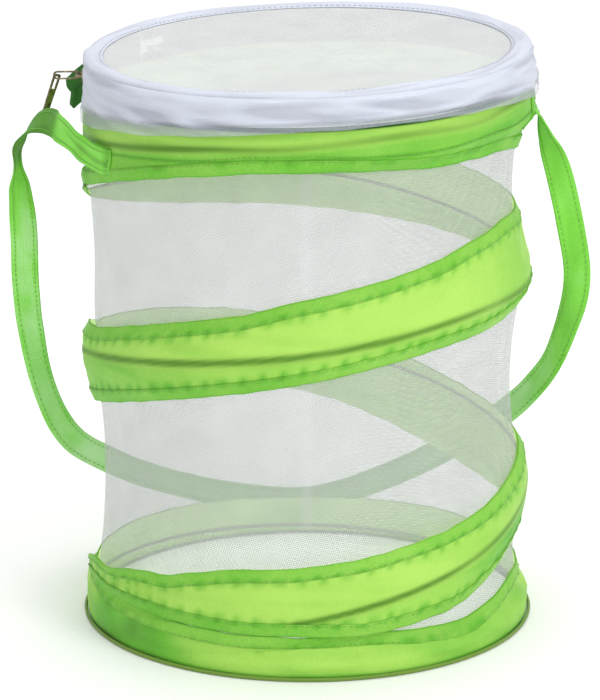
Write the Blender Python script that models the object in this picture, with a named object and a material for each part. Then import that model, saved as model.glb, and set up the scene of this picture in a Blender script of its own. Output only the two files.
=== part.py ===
"""Pop-up insect cage: a net cylinder on a spiral spring, with a zipped net lid and a carrying strap.

Metres, +Z up. The origin is the middle of the floor panel's underside. The front is -Y.
Angles are in degrees, counterclockwise from +X seen from above; past 360 they are further up the spiral.
"""
import math

import bmesh
import bpy
from mathutils import Matrix, Vector

# Overall sizes
CAGE_HEIGHT = 0.300
WIRE_RING_RADIUS = 0.1135
WIRE_DIAMETER = 0.002
COLUMN_STEP = 10
ZIP_STEP = 5
FIT_GAP = 0.0003
WIRE_SIDES = 6
SMALL_WIRE_SIDES = 8
SHORTEST_STEP = 0.0001

# Cloths
FABRIC_THICKNESS = 0.0004
HEM_THICKNESS = 0.0009
HEM_WIDTH = 0.007
NET_THICKNESS = 0.0004
SEWN_GAP = 0.0005
WAIST_PULL = 0.0085
WAIST_FULL_GAP = 0.065
NET_LEVELS = 5

# Spiral: heights of the sleeve's middle each eighth of a turn, as shares of the cage height
SLEEVE_WIDTH = 0.040
SLEEVE_FIRST_ANGLE = 180
SLEEVE_START_ANGLE = 190
SLEEVE_END_ANGLE = 910
SLEEVE_LEAST_WIDTH = 0.0018
TABLE_STEP = 45
SLEEVE_HEIGHT_SHARES = (
    0.033, 0.083, 0.130, 0.161, 0.223, 0.262, 0.346, 0.400, 0.447,
    0.522, 0.585, 0.637, 0.655, 0.671, 0.693, 0.728, 0.815, 0.955)
# The wire wanders inside the sleeve: its place each eighth of a turn, as shares of half the sleeve's width
WIRE_OFFSET_SHARES = (
    0.02, -0.60, -0.42, 0.10, 0.33, 0.66, 0.27, 0.30, 0.36,
    0.05, -0.24, -0.45, -0.66, -0.40, -0.10, -0.35, -0.84)
COIL_TURNS = 3
COIL_RING_GAP = 0.0005
COIL_LAST_RISE_DEG = 75
NET_JOIN_DEG = 90
RIDGE_FLAT = 0.0012
COVER_TAUT_FROM_DEG = 290
COVER_LOOSE_FROM_DEG = 340

# Floor and bottom band
FLOOR_THICKNESS = 0.0005
PIPING_WIDTH = 0.0017
PIPING_HEIGHT = 0.0020
BAND_BREAK = 0.0005
BAND_LEVELS = 8
BAND_FLAT = 0.0052
BAND_FALL = 0.010
# Height of the bottom band's upper edge each eighth of a turn from +X, as shares of the cage height
BOTTOM_BAND_TOP_SHARES = (0.088, 0.086, 0.077, 0.086, 0.092, 0.082, 0.072, 0.058)

# Back seam of the wall
SEAM_ANGLE = 90
SEAM_WIDTH = 0.006
SEAM_THICKNESS = 0.0005
SEAM_STANDOFF = 0.0013

# Rim: the zip's plane leans a little, right side and front up; the top ring leans further the same way
ZIP_HEIGHT_SHARE = 0.96167
ZIP_HEIGHT = CAGE_HEIGHT * ZIP_HEIGHT_SHARE
LEAN_ROLL_DEG = -1.66
LEAN_PITCH_DEG = -1.50
TOP_RING_BELOW_ZIP = 0.0215
TOP_RING_HEIGHT = ZIP_HEIGHT - TOP_RING_BELOW_ZIP
TOP_RING_SIDE_LEAN = 0.0110
TOP_RING_FRONT_LEAN = 0.0100
TOP_BAND_BELOW_ZIP = 0.0054
TOP_BAND_TAPER = 0.0008
TAPER_SHARE = 0.4
# Height of the top band's lower edge each eighth of a turn from +X, as shares of the cage height
TOP_BAND_LOW_SHARES = (0.832, 0.836, 0.812, 0.784, 0.773, 0.842, 0.882, 0.866)

# Zip
TAPE_INSIDE_RING = 0.0004
TAPE_RADIUS = WIRE_RING_RADIUS - TAPE_INSIDE_RING
TAPE_THICKNESS = 0.0006
TAPE_WIDTH = 0.0046
CHAIN_WIDTH = 0.0024
CHAIN_DEPTH = 0.0024
CHAIN_INSIDE_TAPE = 0.0001
CHAIN_RADIUS = TAPE_RADIUS - CHAIN_INSIDE_TAPE
CHAIN_SPLIT = 0.0012
STOP_LENGTH_DEG = 1.5
STOP_STANDOFF = 0.0008
FIRST_STOP_ANGLE = 171.5
LAST_STOP_ANGLE = 496
HINGE_ANGLE = 155
HINGE_HALF_DEG = 14
TAPE_START_ANGLE = 170
TAPE_END_ANGLE = 500
LOWER_CHAIN_START = 175
LOWER_CHAIN_END = 495
UPPER_CHAIN_START = 185
UPPER_CHAIN_END = 490

# Slider, link and pull tab
SLIDER_ANGLE = 176
SLIDER_LENGTH = 0.0100
SLIDER_WIDTH = 0.0080
NOSE_SHARE = 0.7
PLATE_THICKNESS = 0.0012
WEB_THICKNESS = 0.0006
WEB_LENGTH = 0.0030
WEB_INSET = 0.0008
BRIDGE_LENGTH = 0.0072
BRIDGE_WIDTH = 0.0016
BRIDGE_THICKNESS = 0.0012
BRIDGE_CLEARANCE = 0.0024
LINK_WIRE = 0.0010
LINK_HALF_HEIGHT = 0.0018
LINK_REACH = 0.0100
LINK_ARC_STEPS = 6
TAB_SWING_DEG = 20
TAB_LENGTH = 0.0225
TAB_WIDTH = 0.0044
TAB_TIP_WIDTH = 0.0036
TAB_THICKNESS = 0.0010
TAB_BAR = 0.0012
TAB_SLOT_WIDTH = 0.0020
TAB_SLOT_LENGTH = 0.0070

# Zip tail, folded out beside the slider
TAIL_ANGLE = 167
TAIL_THICKNESS = 0.0006
TAIL_REACH = 0.0138
TAIL_HEIGHT = 0.0250
TAIL_RISE = 0.0035
TAIL_OUTLINE_SHARES = (
    (0.00, 1.00), (0.22, 0.97), (0.62, 0.80), (1.00, 0.60), (0.97, 0.44), (0.78, 0.34),
    (0.86, 0.08), (0.72, 0.00), (0.40, 0.14), (0.00, 0.30))

# Lid
LID_NET_INSIDE_RING = 0.0080
LID_NET_RADIUS = WIRE_RING_RADIUS - LID_NET_INSIDE_RING
LID_NET_SAG = 0.0022
LID_TOP = 0.0118
LID_RIM_DROP = 0.0042
LID_RIM_OUTSIDE_RING = 0.0003
LID_RIM_RADIUS = WIRE_RING_RADIUS + LID_RIM_OUTSIDE_RING
HOOP_INSIDE_RING = 0.0025
HOOP_RADIUS = WIRE_RING_RADIUS - HOOP_INSIDE_RING
HOOP_DIAMETER = 0.0016
HOOP_HEIGHT = 0.0100
FLAP_START_ANGLE = 190
FLAP_END_ANGLE = 490
FLAP_OUTSIDE_RING = 0.0011
FLAP_RADIUS = WIRE_RING_RADIUS + FLAP_OUTSIDE_RING
FLAP_TUCK = 0.0004
FLAP_FLARE = 0.0038
FLAP_LEVELS = 4
# Drop of the flap's lower edge below the zip each eighth of a turn, as shares of the greatest drop
FLAP_DEPTH = 0.0190
FLAP_EDGE_SHARES = (0.58, 0.60, 0.62, 0.70, 1.0, 0.58, 0.23, 0.22)

# Carrying strap
STRAP_WIDTH = 0.0140
STRAP_THICKNESS = 0.0008
STRAP_STEPS = 3
ROOT_WIDTH_DEG = 9
ROOT_HEIGHT = 0.0130
ROOT_THICKNESS = 0.0008
LEFT_ROOT_ANGLE = 207
LEFT_ROOT_HEIGHT_SHARE = 0.855
RIGHT_ROOT_ANGLE = 354
RIGHT_ROOT_HEIGHT_SHARE = 0.900
# Middle line of the strap from its left end to its right, each point with the way its width points:
# sideways as shares of the ring's radius, upwards as shares of the cage height
STRAP_ROUTE_SHARES = (
    ((-0.8913, -0.5294, 0.8540), (0.05, -0.03, -1.00)),
    ((-0.9489, -0.4441, 0.8560), (0.12, -0.10, -0.98)),
    ((-1.0308, -0.3436, 0.8680), (0.28, -0.30, -0.90)),
    ((-1.1075, -0.2273, 0.8830), (0.18, -0.52, -0.82)),
    ((-1.1630, -0.1242, 0.8870), (-0.05, -0.65, -0.75)),
    ((-1.2317, -0.0687, 0.8770), (-0.40, -0.70, -0.60)),
    ((-1.2925, -0.0476, 0.8470), (-0.45, -0.85, -0.30)),
    ((-1.3110, -0.0423, 0.8050), (-0.20, -0.98, 0.00)),
    ((-1.3004, -0.0317, 0.7500), (-0.75, -0.65, 0.00)),
    ((-1.2880, -0.0079, 0.6733), (-1.00, -0.15, 0.00)),
    ((-1.2864, 0.0441, 0.5833), (-0.98, -0.20, 0.00)),
    ((-1.2687, 0.1409, 0.4833), (-0.85, -0.45, -0.10)),
    ((-1.2204, 0.2730, 0.3667), (-0.70, -0.55, -0.45)),
    ((-1.1189, 0.4935, 0.2533), (-0.55, -0.25, -0.80)),
    ((-0.9515, 0.7488, 0.1767), (-0.45, -0.10, -0.90)),
    ((-0.7049, 0.9780, 0.1100), (-0.30, -0.05, -0.95)),
    ((-0.3700, 1.1189, 0.0633), (-0.15, 0.00, -0.99)),
    ((0.0219, 1.1543, 0.0500), (0.05, 0.00, -1.00)),
    ((0.3878, 1.1101, 0.1000), (0.35, 0.00, -0.94)),
    ((0.7049, 0.9603, 0.1800), (0.45, -0.15, -0.88)),
    ((0.9603, 0.6695, 0.2833), (0.45, -0.55, -0.70)),
    ((1.1101, 0.3788, 0.3867), (0.50, -0.80, -0.35)),
    ((1.1981, 0.1673, 0.5000), (0.75, -0.65, -0.10)),
    ((1.2291, 0.0352, 0.5967), (0.97, -0.25, 0.00)),
    ((1.1849, -0.0352, 0.7067), (1.00, -0.05, 0.00)),
    ((1.1233, -0.0740, 0.8050), (0.95, -0.30, 0.10)),
    ((1.0652, -0.1057, 0.8700), (0.40, -0.90, 0.05)),
    ((1.0348, -0.1089, 0.9100), (-0.10, -0.99, 0.00)),
)

# Colours
GREEN = (0.42, 0.80, 0.16)
DEEP_GREEN = (0.20, 0.58, 0.08)
DARK_GREEN = (0.03, 0.20, 0.02)
OLIVE = (0.22, 0.36, 0.05)
WHITE = (0.80, 0.81, 0.86)
NET_WHITE = (0.80, 0.82, 0.82)
SPRING_STEEL = (0.62, 0.64, 0.62)
BRONZE = (0.20, 0.17, 0.12)

# Places worked out from the sizes above
WIRE_INNER = WIRE_RING_RADIUS - WIRE_DIAMETER / 2
WIRE_OUTER = WIRE_RING_RADIUS + WIRE_DIAMETER / 2
NET_RADIUS = WIRE_INNER - FIT_GAP - NET_THICKNESS / 2
COVER_RADIUS = WIRE_OUTER + FIT_GAP
COVER_OFFSET = NET_THICKNESS / 2 + SEWN_GAP
BOTTOM_RING_HEIGHT = FLOOR_THICKNESS + FIT_GAP + WIRE_DIAMETER / 2
COIL_START_HEIGHT = BOTTOM_RING_HEIGHT + WIRE_DIAMETER + COIL_RING_GAP
FLOOR_RADIUS = COVER_RADIUS + FABRIC_THICKNESS
CHAIN_INNER = CHAIN_RADIUS - CHAIN_DEPTH / 2
CHAIN_OUTER = CHAIN_RADIUS + CHAIN_DEPTH / 2
CHAIN_REACH = CHAIN_SPLIT / 2 + CHAIN_WIDTH
RIM_FRAME = (Matrix.Translation((0, 0, ZIP_HEIGHT)) @ Matrix.Rotation(math.radians(LEAN_ROLL_DEG), 4, "Y")
             @ Matrix.Rotation(math.radians(LEAN_PITCH_DEG), 4, "X"))


def clear_scene():
    """Remove what the file holds before the cage is built."""
    for item in list(bpy.data.objects):
        bpy.data.objects.remove(item, do_unlink=True)


def make_material(name, color, roughness, metallic):
    """A plain Principled material."""
    material = bpy.data.materials.new(name)
    material.use_nodes = True
    shader = material.node_tree.nodes["Principled BSDF"]
    shader.inputs["Base Color"].default_value = (*color, 1.0)
    shader.inputs["Roughness"].default_value = roughness
    shader.inputs["Metallic"].default_value = metallic
    material.diffuse_color = (*color, 1.0)
    return material


def add_object(name, builder, color, roughness=0.8, metallic=0.0, parent=None, pivot=(0, 0, 0),
               smooth_deg=40):
    """Turn a bmesh into a named object whose origin is its pivot."""
    bmesh.ops.translate(builder, verts=builder.verts, vec=-Vector(pivot))
    mesh = bpy.data.meshes.new(name)
    builder.to_mesh(mesh)
    builder.free()
    mesh.shade_smooth()
    mesh.set_sharp_from_angle(angle=math.radians(smooth_deg))
    item = bpy.data.objects.new(name, mesh)
    bpy.context.scene.collection.objects.link(item)
    item.data.materials.append(make_material(name, color, roughness, metallic))
    item.parent = parent
    item.location = pivot
    return item


def add_empty(name, matrix, size):
    """A small axes marker that carries a body."""
    item = bpy.data.objects.new(name, None)
    item.empty_display_size = size
    bpy.context.scene.collection.objects.link(item)
    item.matrix_world = matrix
    return item


def cylinder_point(radius, angle_deg, height):
    """A point given by its distance from the axis, its angle and its height."""
    angle = math.radians(angle_deg)
    return Vector((radius * math.cos(angle), radius * math.sin(angle), height))


def column_radius(radius, angle_deg):
    """Radius at an angle of the straight panel between two columns whose own radius is given."""
    half = math.radians(COLUMN_STEP / 2)
    off = math.radians(angle_deg % COLUMN_STEP) - half
    return radius * math.cos(half) / math.cos(off)


def loft(sections, closed=False):
    """Skin a run of like outlines, each a ring of points, into one closed body."""
    builder = bmesh.new()
    rings = [[builder.verts.new(point) for point in section] for section in sections]
    count = len(rings[0])
    spans = list(zip(rings, rings[1:]))
    if closed:
        spans.append((rings[-1], rings[0]))
    for first, second in spans:
        for index in range(count):
            following = (index + 1) % count
            builder.faces.new((first[index], first[following], second[following], second[index]))
    if not closed:
        builder.faces.new(list(reversed(rings[0])))
        builder.faces.new(rings[-1])
    bmesh.ops.recalc_face_normals(builder, faces=builder.faces)
    return builder


def swept_profile(profile_at, angles, closed=False):
    """Loft a profile of (radius, height) pairs round the axis."""
    sections = [[cylinder_point(radius, angle, height) for radius, height in profile_at(angle)]
                for angle in angles]
    return loft(sections, closed)


def plate_outline(points, thickness):
    """Outline of a thin sheet that follows (radius, height) points, its thickness laid on outwards."""
    outer = [(radius + thick, height) for (radius, height), thick in zip(points, thickness)]
    return list(points) + outer[::-1]


def wire_profile(radius, height, diameter, sides=WIRE_SIDES):
    """Round outline of a wire that runs round the axis."""
    return [(radius + diameter / 2 * math.cos(2 * math.pi * side / sides),
             height + diameter / 2 * math.sin(2 * math.pi * side / sides)) for side in range(sides)]


def turn_angles(first=0, last=360, step=COLUMN_STEP, closed=True):
    """Angles from first to last; a closed run leaves out the last one."""
    angles = list(range(first, last, step))
    return angles if closed else angles + [last]


def smooth_table(table, place):
    """Read a table between its entries, on a smooth curve through them."""
    last = len(table) - 1
    place = min(max(place, 0), last)
    index = min(int(place), last - 1)
    before = table[max(index - 1, 0)]
    start, end = table[index], table[index + 1]
    after = table[min(index + 2, last)]
    part = place - index
    slope_in = (end - before) / 2
    slope_out = (after - start) / 2
    return (start * (2 * part ** 3 - 3 * part ** 2 + 1) + slope_in * (part ** 3 - 2 * part ** 2 + part)
            + end * (3 * part ** 2 - 2 * part ** 3) + slope_out * (part ** 3 - part ** 2))


def round_table(table, angle_deg):
    """Read a table that goes once round the cage, on a smooth curve."""
    count = len(table)
    place = (angle_deg % 360) / 360 * count
    return smooth_table(table * 3, place + count)


def top_ring_height(angle_deg):
    """Height of the top ring's wire."""
    angle = math.radians(angle_deg)
    return TOP_RING_HEIGHT + TOP_RING_SIDE_LEAN * math.cos(angle) - TOP_RING_FRONT_LEAN * math.sin(angle)


def zip_world_height(angle_deg):
    """Height above the floor of the zip's middle line."""
    return (RIM_FRAME @ cylinder_point(CHAIN_RADIUS, angle_deg, 0)).z


def bottom_band_top(angle_deg):
    """Height of the bottom band's upper edge."""
    return CAGE_HEIGHT * round_table(BOTTOM_BAND_TOP_SHARES, angle_deg)


def top_band_low(angle_deg):
    """Height of the top band's lower edge."""
    return CAGE_HEIGHT * round_table(TOP_BAND_LOW_SHARES, angle_deg)


def sleeve_height(angle_deg):
    """Height of the middle of the spiral sleeve."""
    place = (angle_deg - SLEEVE_FIRST_ANGLE) / TABLE_STEP
    return CAGE_HEIGHT * smooth_table(SLEEVE_HEIGHT_SHARES, place)


def wandering_height(angle_deg):
    """Height of the spring wire where it runs in the sleeve."""
    place = (angle_deg - SLEEVE_FIRST_ANGLE) / TABLE_STEP
    return sleeve_height(angle_deg) + SLEEVE_WIDTH / 2 * smooth_table(WIRE_OFFSET_SHARES, place)


def coil_height(angle_deg):
    """Height of the spring wire's middle, from the bottom ring to the top ring."""
    last_sleeve = SLEEVE_FIRST_ANGLE + TABLE_STEP * (len(WIRE_OFFSET_SHARES) - 1)
    if angle_deg <= SLEEVE_FIRST_ANGLE:
        part = angle_deg / SLEEVE_FIRST_ANGLE
        rise = wandering_height(SLEEVE_FIRST_ANGLE) - COIL_START_HEIGHT
        return COIL_START_HEIGHT + rise * part * part
    if angle_deg <= last_sleeve:
        return wandering_height(angle_deg)
    start = wandering_height(last_sleeve)
    part = min((angle_deg - last_sleeve) / COIL_LAST_RISE_DEG, 1)
    under_ring = top_ring_height(angle_deg) - WIRE_DIAMETER - COIL_RING_GAP
    return start + (under_ring - start) * math.sin(part * math.pi / 2)


def ridge_height(angle_deg):
    """Height of the net's outermost line: the bottom ring, the coil, then the top ring."""
    last = 360 * COIL_TURNS
    if angle_deg <= 0:
        return BOTTOM_RING_HEIGHT
    if angle_deg >= last:
        return top_ring_height(angle_deg)
    joined = min(1, angle_deg / NET_JOIN_DEG, (last - angle_deg) / NET_JOIN_DEG)
    ends = BOTTOM_RING_HEIGHT if angle_deg < last / 2 else top_ring_height(angle_deg)
    return ends + (coil_height(angle_deg) - ends) * joined


def net_strip(angle_deg):
    """(radius, height) levels of the net from one turn up to the next."""
    low = ridge_height(angle_deg)
    high = ridge_height(angle_deg + 360)
    pull = WAIST_PULL * min(1.0, max(high - low, 0) / WAIST_FULL_GAP)
    shares = [level / NET_LEVELS for level in range(NET_LEVELS + 1)]
    return [(NET_RADIUS - pull * 4 * share * (1 - share), low + (high - low) * share) for share in shares]


def net_column(angle_deg):
    """(radius, height) levels of the net at one angle, from the bottom ring to the top ring."""
    column = []
    for turn in range(-1, COIL_TURNS):
        levels = net_strip(angle_deg % 360 + 360 * turn)
        if levels[-1][1] - levels[0][1] < SHORTEST_STEP:
            continue
        column += levels if not column else levels[1:]
    return column


def net_radius(angle_deg, height):
    """Radius of the net's middle surface at a height."""
    column = net_column(angle_deg)
    if height <= column[0][1]:
        return column[0][0]
    for (low_radius, low), (high_radius, high) in zip(column, column[1:]):
        if height <= high:
            return low_radius + (high_radius - low_radius) * (height - low) / (high - low)
    return column[-1][0]


def sleeve_edges(angle_deg):
    """Heights of the sleeve's lower and upper edges, kept clear of the two bands."""
    middle = sleeve_height(angle_deg)
    low = max(middle - SLEEVE_WIDTH / 2, bottom_band_top(angle_deg) + SEWN_GAP)
    high = min(middle + SLEEVE_WIDTH / 2, top_band_low(angle_deg) - SEWN_GAP)
    if high - low < SLEEVE_LEAST_WIDTH:
        if angle_deg > SLEEVE_END_ANGLE / 2:
            low = high - SLEEVE_LEAST_WIDTH
        else:
            high = low + SLEEVE_LEAST_WIDTH
    return low, high


def wires_at(angle_deg):
    """Heights of every wire at one angle: the bottom ring, each turn of the coil and the top ring."""
    around = angle_deg % 360
    turns = [coil_height(around + 360 * turn) for turn in range(COIL_TURNS)]
    return [BOTTOM_RING_HEIGHT] + turns + [top_ring_height(around)]


def band_radius(angle_deg, height):
    """Inner radius of a band: it stands over the wires behind it and leans in on the net beside them."""
    resting = net_radius(angle_deg, height) + COVER_OFFSET
    distance = min(abs(height - wire) for wire in wires_at(angle_deg))
    beside = min(max(1 - (distance - BAND_FLAT) / BAND_FALL, 0), 1)
    return resting + (COVER_RADIUS - resting) * beside


def sleeve_radius(angle_deg, height, wire, edge):
    """Inner radius of the sleeve: a straight slope from the wire down to its edge, which lies on the net."""
    distance = abs(height - wire)
    if distance <= RIDGE_FLAT * 1.01:
        return COVER_RADIUS
    resting = net_radius(angle_deg, edge) + COVER_OFFSET
    share = min((distance - RIDGE_FLAT) / max(abs(edge - wire) - RIDGE_FLAT, SHORTEST_STEP), 1)
    sloped = COVER_RADIUS + (resting - COVER_RADIUS) * share
    sloped = max(sloped, net_radius(angle_deg, height) + COVER_OFFSET)
    taut = (COVER_LOOSE_FROM_DEG - angle_deg) / (COVER_LOOSE_FROM_DEG - COVER_TAUT_FROM_DEG)
    taut = min(max(taut, 0), 1)
    return sloped + (COVER_RADIUS - sloped) * taut


def sleeve_profile(angle_deg):
    """Outline of the sleeve: cloth with a doubled hem along both edges, raised where the wire runs."""
    low, high = sleeve_edges(angle_deg)
    width = high - low
    hem = min(HEM_WIDTH, width * 0.3)
    wire = min(max(coil_height(angle_deg), low), high)
    ridge = wire - low
    below, above = ridge / 2, (ridge + width) / 2
    steps = [0, hem, hem + BAND_BREAK, below, ridge - RIDGE_FLAT, ridge + RIDGE_FLAT, above,
             width - hem - BAND_BREAK, width - hem, width]
    last = len(steps) - 1
    heights = sorted(min(max(step, 0), width) for step in steps)
    for index in range(1, last + 1):
        heights[index] = max(heights[index], heights[index - 1] + SHORTEST_STEP)
    heights[last] = width
    for index in range(last - 1, -1, -1):
        heights[index] = min(heights[index], heights[index + 1] - SHORTEST_STEP)
    points = []
    thickness = []
    for step in heights:
        edge = low if low + step < wire else high
        points.append((sleeve_radius(angle_deg, low + step, wire, edge), low + step))
        in_hem = step <= hem * 1.001 or step >= (width - hem) * 0.999
        thickness.append(HEM_THICKNESS if in_hem else FABRIC_THICKNESS)
    return plate_outline(points, thickness)


def bottom_band_profile(angle_deg):
    """Outline of the bottom band with a doubled hem along its upper edge."""
    low = FLOOR_THICKNESS + FIT_GAP
    high = bottom_band_top(angle_deg)
    hem = high - HEM_WIDTH
    plain = BAND_LEVELS - 2
    heights = [low + (hem - BAND_BREAK - low) * level / (plain - 1) for level in range(plain)]
    heights += [hem, (hem + high) / 2, high]
    thickness = [FABRIC_THICKNESS] * plain + [HEM_THICKNESS] * 3
    return plate_outline([(band_radius(angle_deg, height), height) for height in heights], thickness)


def top_band_profile(angle_deg):
    """Outline of the top band: hem at the lower edge, a soft ridge at the ring, drawn in at the zip."""
    ring = top_ring_height(angle_deg)
    low = top_band_low(angle_deg)
    high = zip_world_height(angle_deg) - TOP_BAND_BELOW_ZIP
    hem = low + HEM_WIDTH
    crest = ring + RIDGE_FLAT
    plain = BAND_LEVELS - 3
    above = hem + BAND_BREAK
    heights = [low, (low + hem) / 2, hem]
    heights += [above + (crest - above) * level / (plain - 1) for level in range(plain)]
    points = [(band_radius(angle_deg, height), height) for height in heights]
    drawn_in = COVER_RADIUS - TOP_BAND_TAPER
    points += [(drawn_in, crest + (high - crest) * TAPER_SHARE), (drawn_in, high)]
    thickness = [HEM_THICKNESS] * 3 + [FABRIC_THICKNESS] * (plain + 2)
    return plate_outline(points, thickness)


def ring_wire(height_at):
    """A closed ring of spring wire at a height that may change round the ring."""
    return swept_profile(lambda angle: wire_profile(WIRE_RING_RADIUS, height_at(angle), WIRE_DIAMETER),
                         turn_angles(), closed=True)


def build_coil():
    """The spring: three turns of wire, its least clearance between turns measured and printed."""
    last = 360 * COIL_TURNS
    gaps = [coil_height(angle + 360) - coil_height(angle) - WIRE_DIAMETER
            for angle in range(0, last - 360 + 1, COLUMN_STEP)]
    print("least gap between the turns of the coil, mm:", round(min(gaps) * 1000, 2))
    return swept_profile(lambda angle: wire_profile(WIRE_RING_RADIUS, coil_height(angle), WIRE_DIAMETER),
                         turn_angles(0, last, closed=False))


def build_wall_net():
    """The net as one sheet that follows the spiral, drawn in between the turns, given its thickness."""
    surface = bmesh.new()
    ridge = {angle: surface.verts.new(cylinder_point(NET_RADIUS, angle, ridge_height(angle)))
             for angle in range(-360, 360 * (COIL_TURNS + 1), COLUMN_STEP)}
    first, last = -360, 360 * COIL_TURNS
    columns = {}
    for angle in range(first, last + 1, COLUMN_STEP):
        levels = net_strip(angle)
        if angle in (first, last):
            ends = ridge[angle] if angle == last else ridge[0]
            columns[angle] = [ends] * (NET_LEVELS + 1)
            continue
        inner = [surface.verts.new(cylinder_point(radius, angle, height)) for radius, height in levels[1:-1]]
        columns[angle] = [ridge[angle]] + inner + [ridge[angle + 360]]
    for angle in range(first, last, COLUMN_STEP):
        here, there = columns[angle], columns[angle + COLUMN_STEP]
        for level in range(NET_LEVELS):
            corners = [here[level], there[level], there[level + 1], here[level + 1]]
            corners = list(dict.fromkeys(corners))
            if len(corners) > 2:
                surface.faces.new(corners)
    loose = [vert for vert in surface.verts if not vert.link_faces]
    bmesh.ops.delete(surface, geom=loose, context="VERTS")
    bmesh.ops.recalc_face_normals(surface, faces=surface.faces)
    return surface


def give_thickness(item, thickness):
    """Thicken a sheet evenly about its middle surface."""
    solid = item.modifiers.new("thickness", "SOLIDIFY")
    solid.thickness = thickness
    solid.offset = 0
    solid.use_even_offset = True
    solid.use_rim = True


def seam_sections():
    """The seam tape inside the wall, following the net at its own angle."""
    angle = math.radians(SEAM_ANGLE)
    side = Vector((-math.sin(angle), math.cos(angle), 0)) * SEAM_WIDTH / 2
    sections = []
    for radius, height in net_column(SEAM_ANGLE)[1:-1]:
        outer = cylinder_point(radius - SEAM_STANDOFF, SEAM_ANGLE, height)
        inner = cylinder_point(radius - SEAM_STANDOFF - SEAM_THICKNESS, SEAM_ANGLE, height)
        sections.append([outer - side, outer + side, inner + side, inner - side])
    return sections


def build_disc(radius, low, high):
    """A round panel."""
    builder = bmesh.new()
    outline = [builder.verts.new(cylinder_point(radius, angle, low)) for angle in turn_angles()]
    base = builder.faces.new(outline)
    lifted = bmesh.ops.extrude_face_region(builder, geom=[base])["geom"]
    moved = [item for item in lifted if isinstance(item, bmesh.types.BMVert)]
    bmesh.ops.translate(builder, verts=moved, vec=(0, 0, high - low))
    bmesh.ops.recalc_face_normals(builder, faces=builder.faces)
    return builder


def rect_profile(inner, outer, low, high):
    """Rectangle in the (radius, height) plane."""
    return [(inner, low), (outer, low), (outer, high), (inner, high)]


def build_tape(side):
    """One half of the zip's cloth tape, under the chain for side -1 and over it for side 1."""
    near = CHAIN_REACH + FIT_GAP
    far = near + TAPE_WIDTH
    inner = TAPE_RADIUS - TAPE_THICKNESS / 2
    return swept_profile(lambda angle: rect_profile(inner, inner + TAPE_THICKNESS, side * near, side * far),
                         turn_angles(TAPE_START_ANGLE, TAPE_END_ANGLE, closed=False))


def chain_profile(side):
    """Outline of one chain half, its edge towards the other half rounded off."""
    near, far = CHAIN_SPLIT / 2 * side, CHAIN_REACH * side
    cut = CHAIN_DEPTH / 4
    return [(CHAIN_INNER + cut, near), (CHAIN_OUTER - cut, near), (CHAIN_OUTER, near + cut * side),
            (CHAIN_OUTER, far), (CHAIN_INNER, far), (CHAIN_INNER, near + cut * side)]


def build_chain(side, first, last):
    """One half of the zip's chain."""
    return swept_profile(lambda angle: chain_profile(side), turn_angles(first, last, ZIP_STEP, closed=False))


def build_stop(angle_deg):
    """A small end stop clamped on the lower tape, proud enough to halt the slider's outer plate."""
    angles = [angle_deg, angle_deg + STOP_LENGTH_DEG]
    outline = rect_profile(CHAIN_INNER, CHAIN_OUTER + STOP_STANDOFF, -CHAIN_REACH, -CHAIN_SPLIT / 2)
    return swept_profile(lambda angle: outline, angles)


def cell_solid(first_cuts, second_cuts, third_cuts, is_solid, place):
    """One closed body from filled cells of a box grid, each corner put in place by a function."""
    builder = bmesh.new()
    corners = {}

    def corner(i, j, k):
        if (i, j, k) not in corners:
            corners[i, j, k] = builder.verts.new(place(first_cuts[i], second_cuts[j], third_cuts[k]))
        return corners[i, j, k]

    sizes = (len(first_cuts) - 1, len(second_cuts) - 1, len(third_cuts) - 1)

    def filled(cell):
        if any(index < 0 or index >= size for index, size in zip(cell, sizes)):
            return False
        middle = [(cuts[index] + cuts[index + 1]) / 2
                  for cuts, index in zip((first_cuts, second_cuts, third_cuts), cell)]
        return is_solid(*middle)

    for cell in [(i, j, k) for i in range(sizes[0]) for j in range(sizes[1]) for k in range(sizes[2])]:
        if not filled(cell):
            continue
        for axis in range(3):
            for end in (0, 1):
                beside = list(cell)
                beside[axis] += 2 * end - 1
                if filled(tuple(beside)):
                    continue
                loop = []
                for first, second in ((0, 0), (1, 0), (1, 1), (0, 1)):
                    spot = list(cell)
                    spot[axis] += end
                    spot[(axis + 1) % 3] += first
                    spot[(axis + 2) % 3] += second
                    loop.append(corner(*spot))
                builder.faces.new(loop)
    bmesh.ops.recalc_face_normals(builder, faces=builder.faces)
    return builder


def slider_place(along, radius, height):
    """Put a slider corner on the rim: along the zip, out from the axis, and up."""
    angle = math.radians(SLIDER_ANGLE)
    outward = Vector((math.cos(angle), math.sin(angle), 0))
    forward = Vector((-math.sin(angle), math.cos(angle), 0))
    return outward * radius + forward * along + Vector((0, 0, height))


def bridge_middle():
    """Radius of the middle of the slider's bridge."""
    return CHAIN_OUTER + FIT_GAP + PLATE_THICKNESS + BRIDGE_CLEARANCE + BRIDGE_THICKNESS / 2


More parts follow.
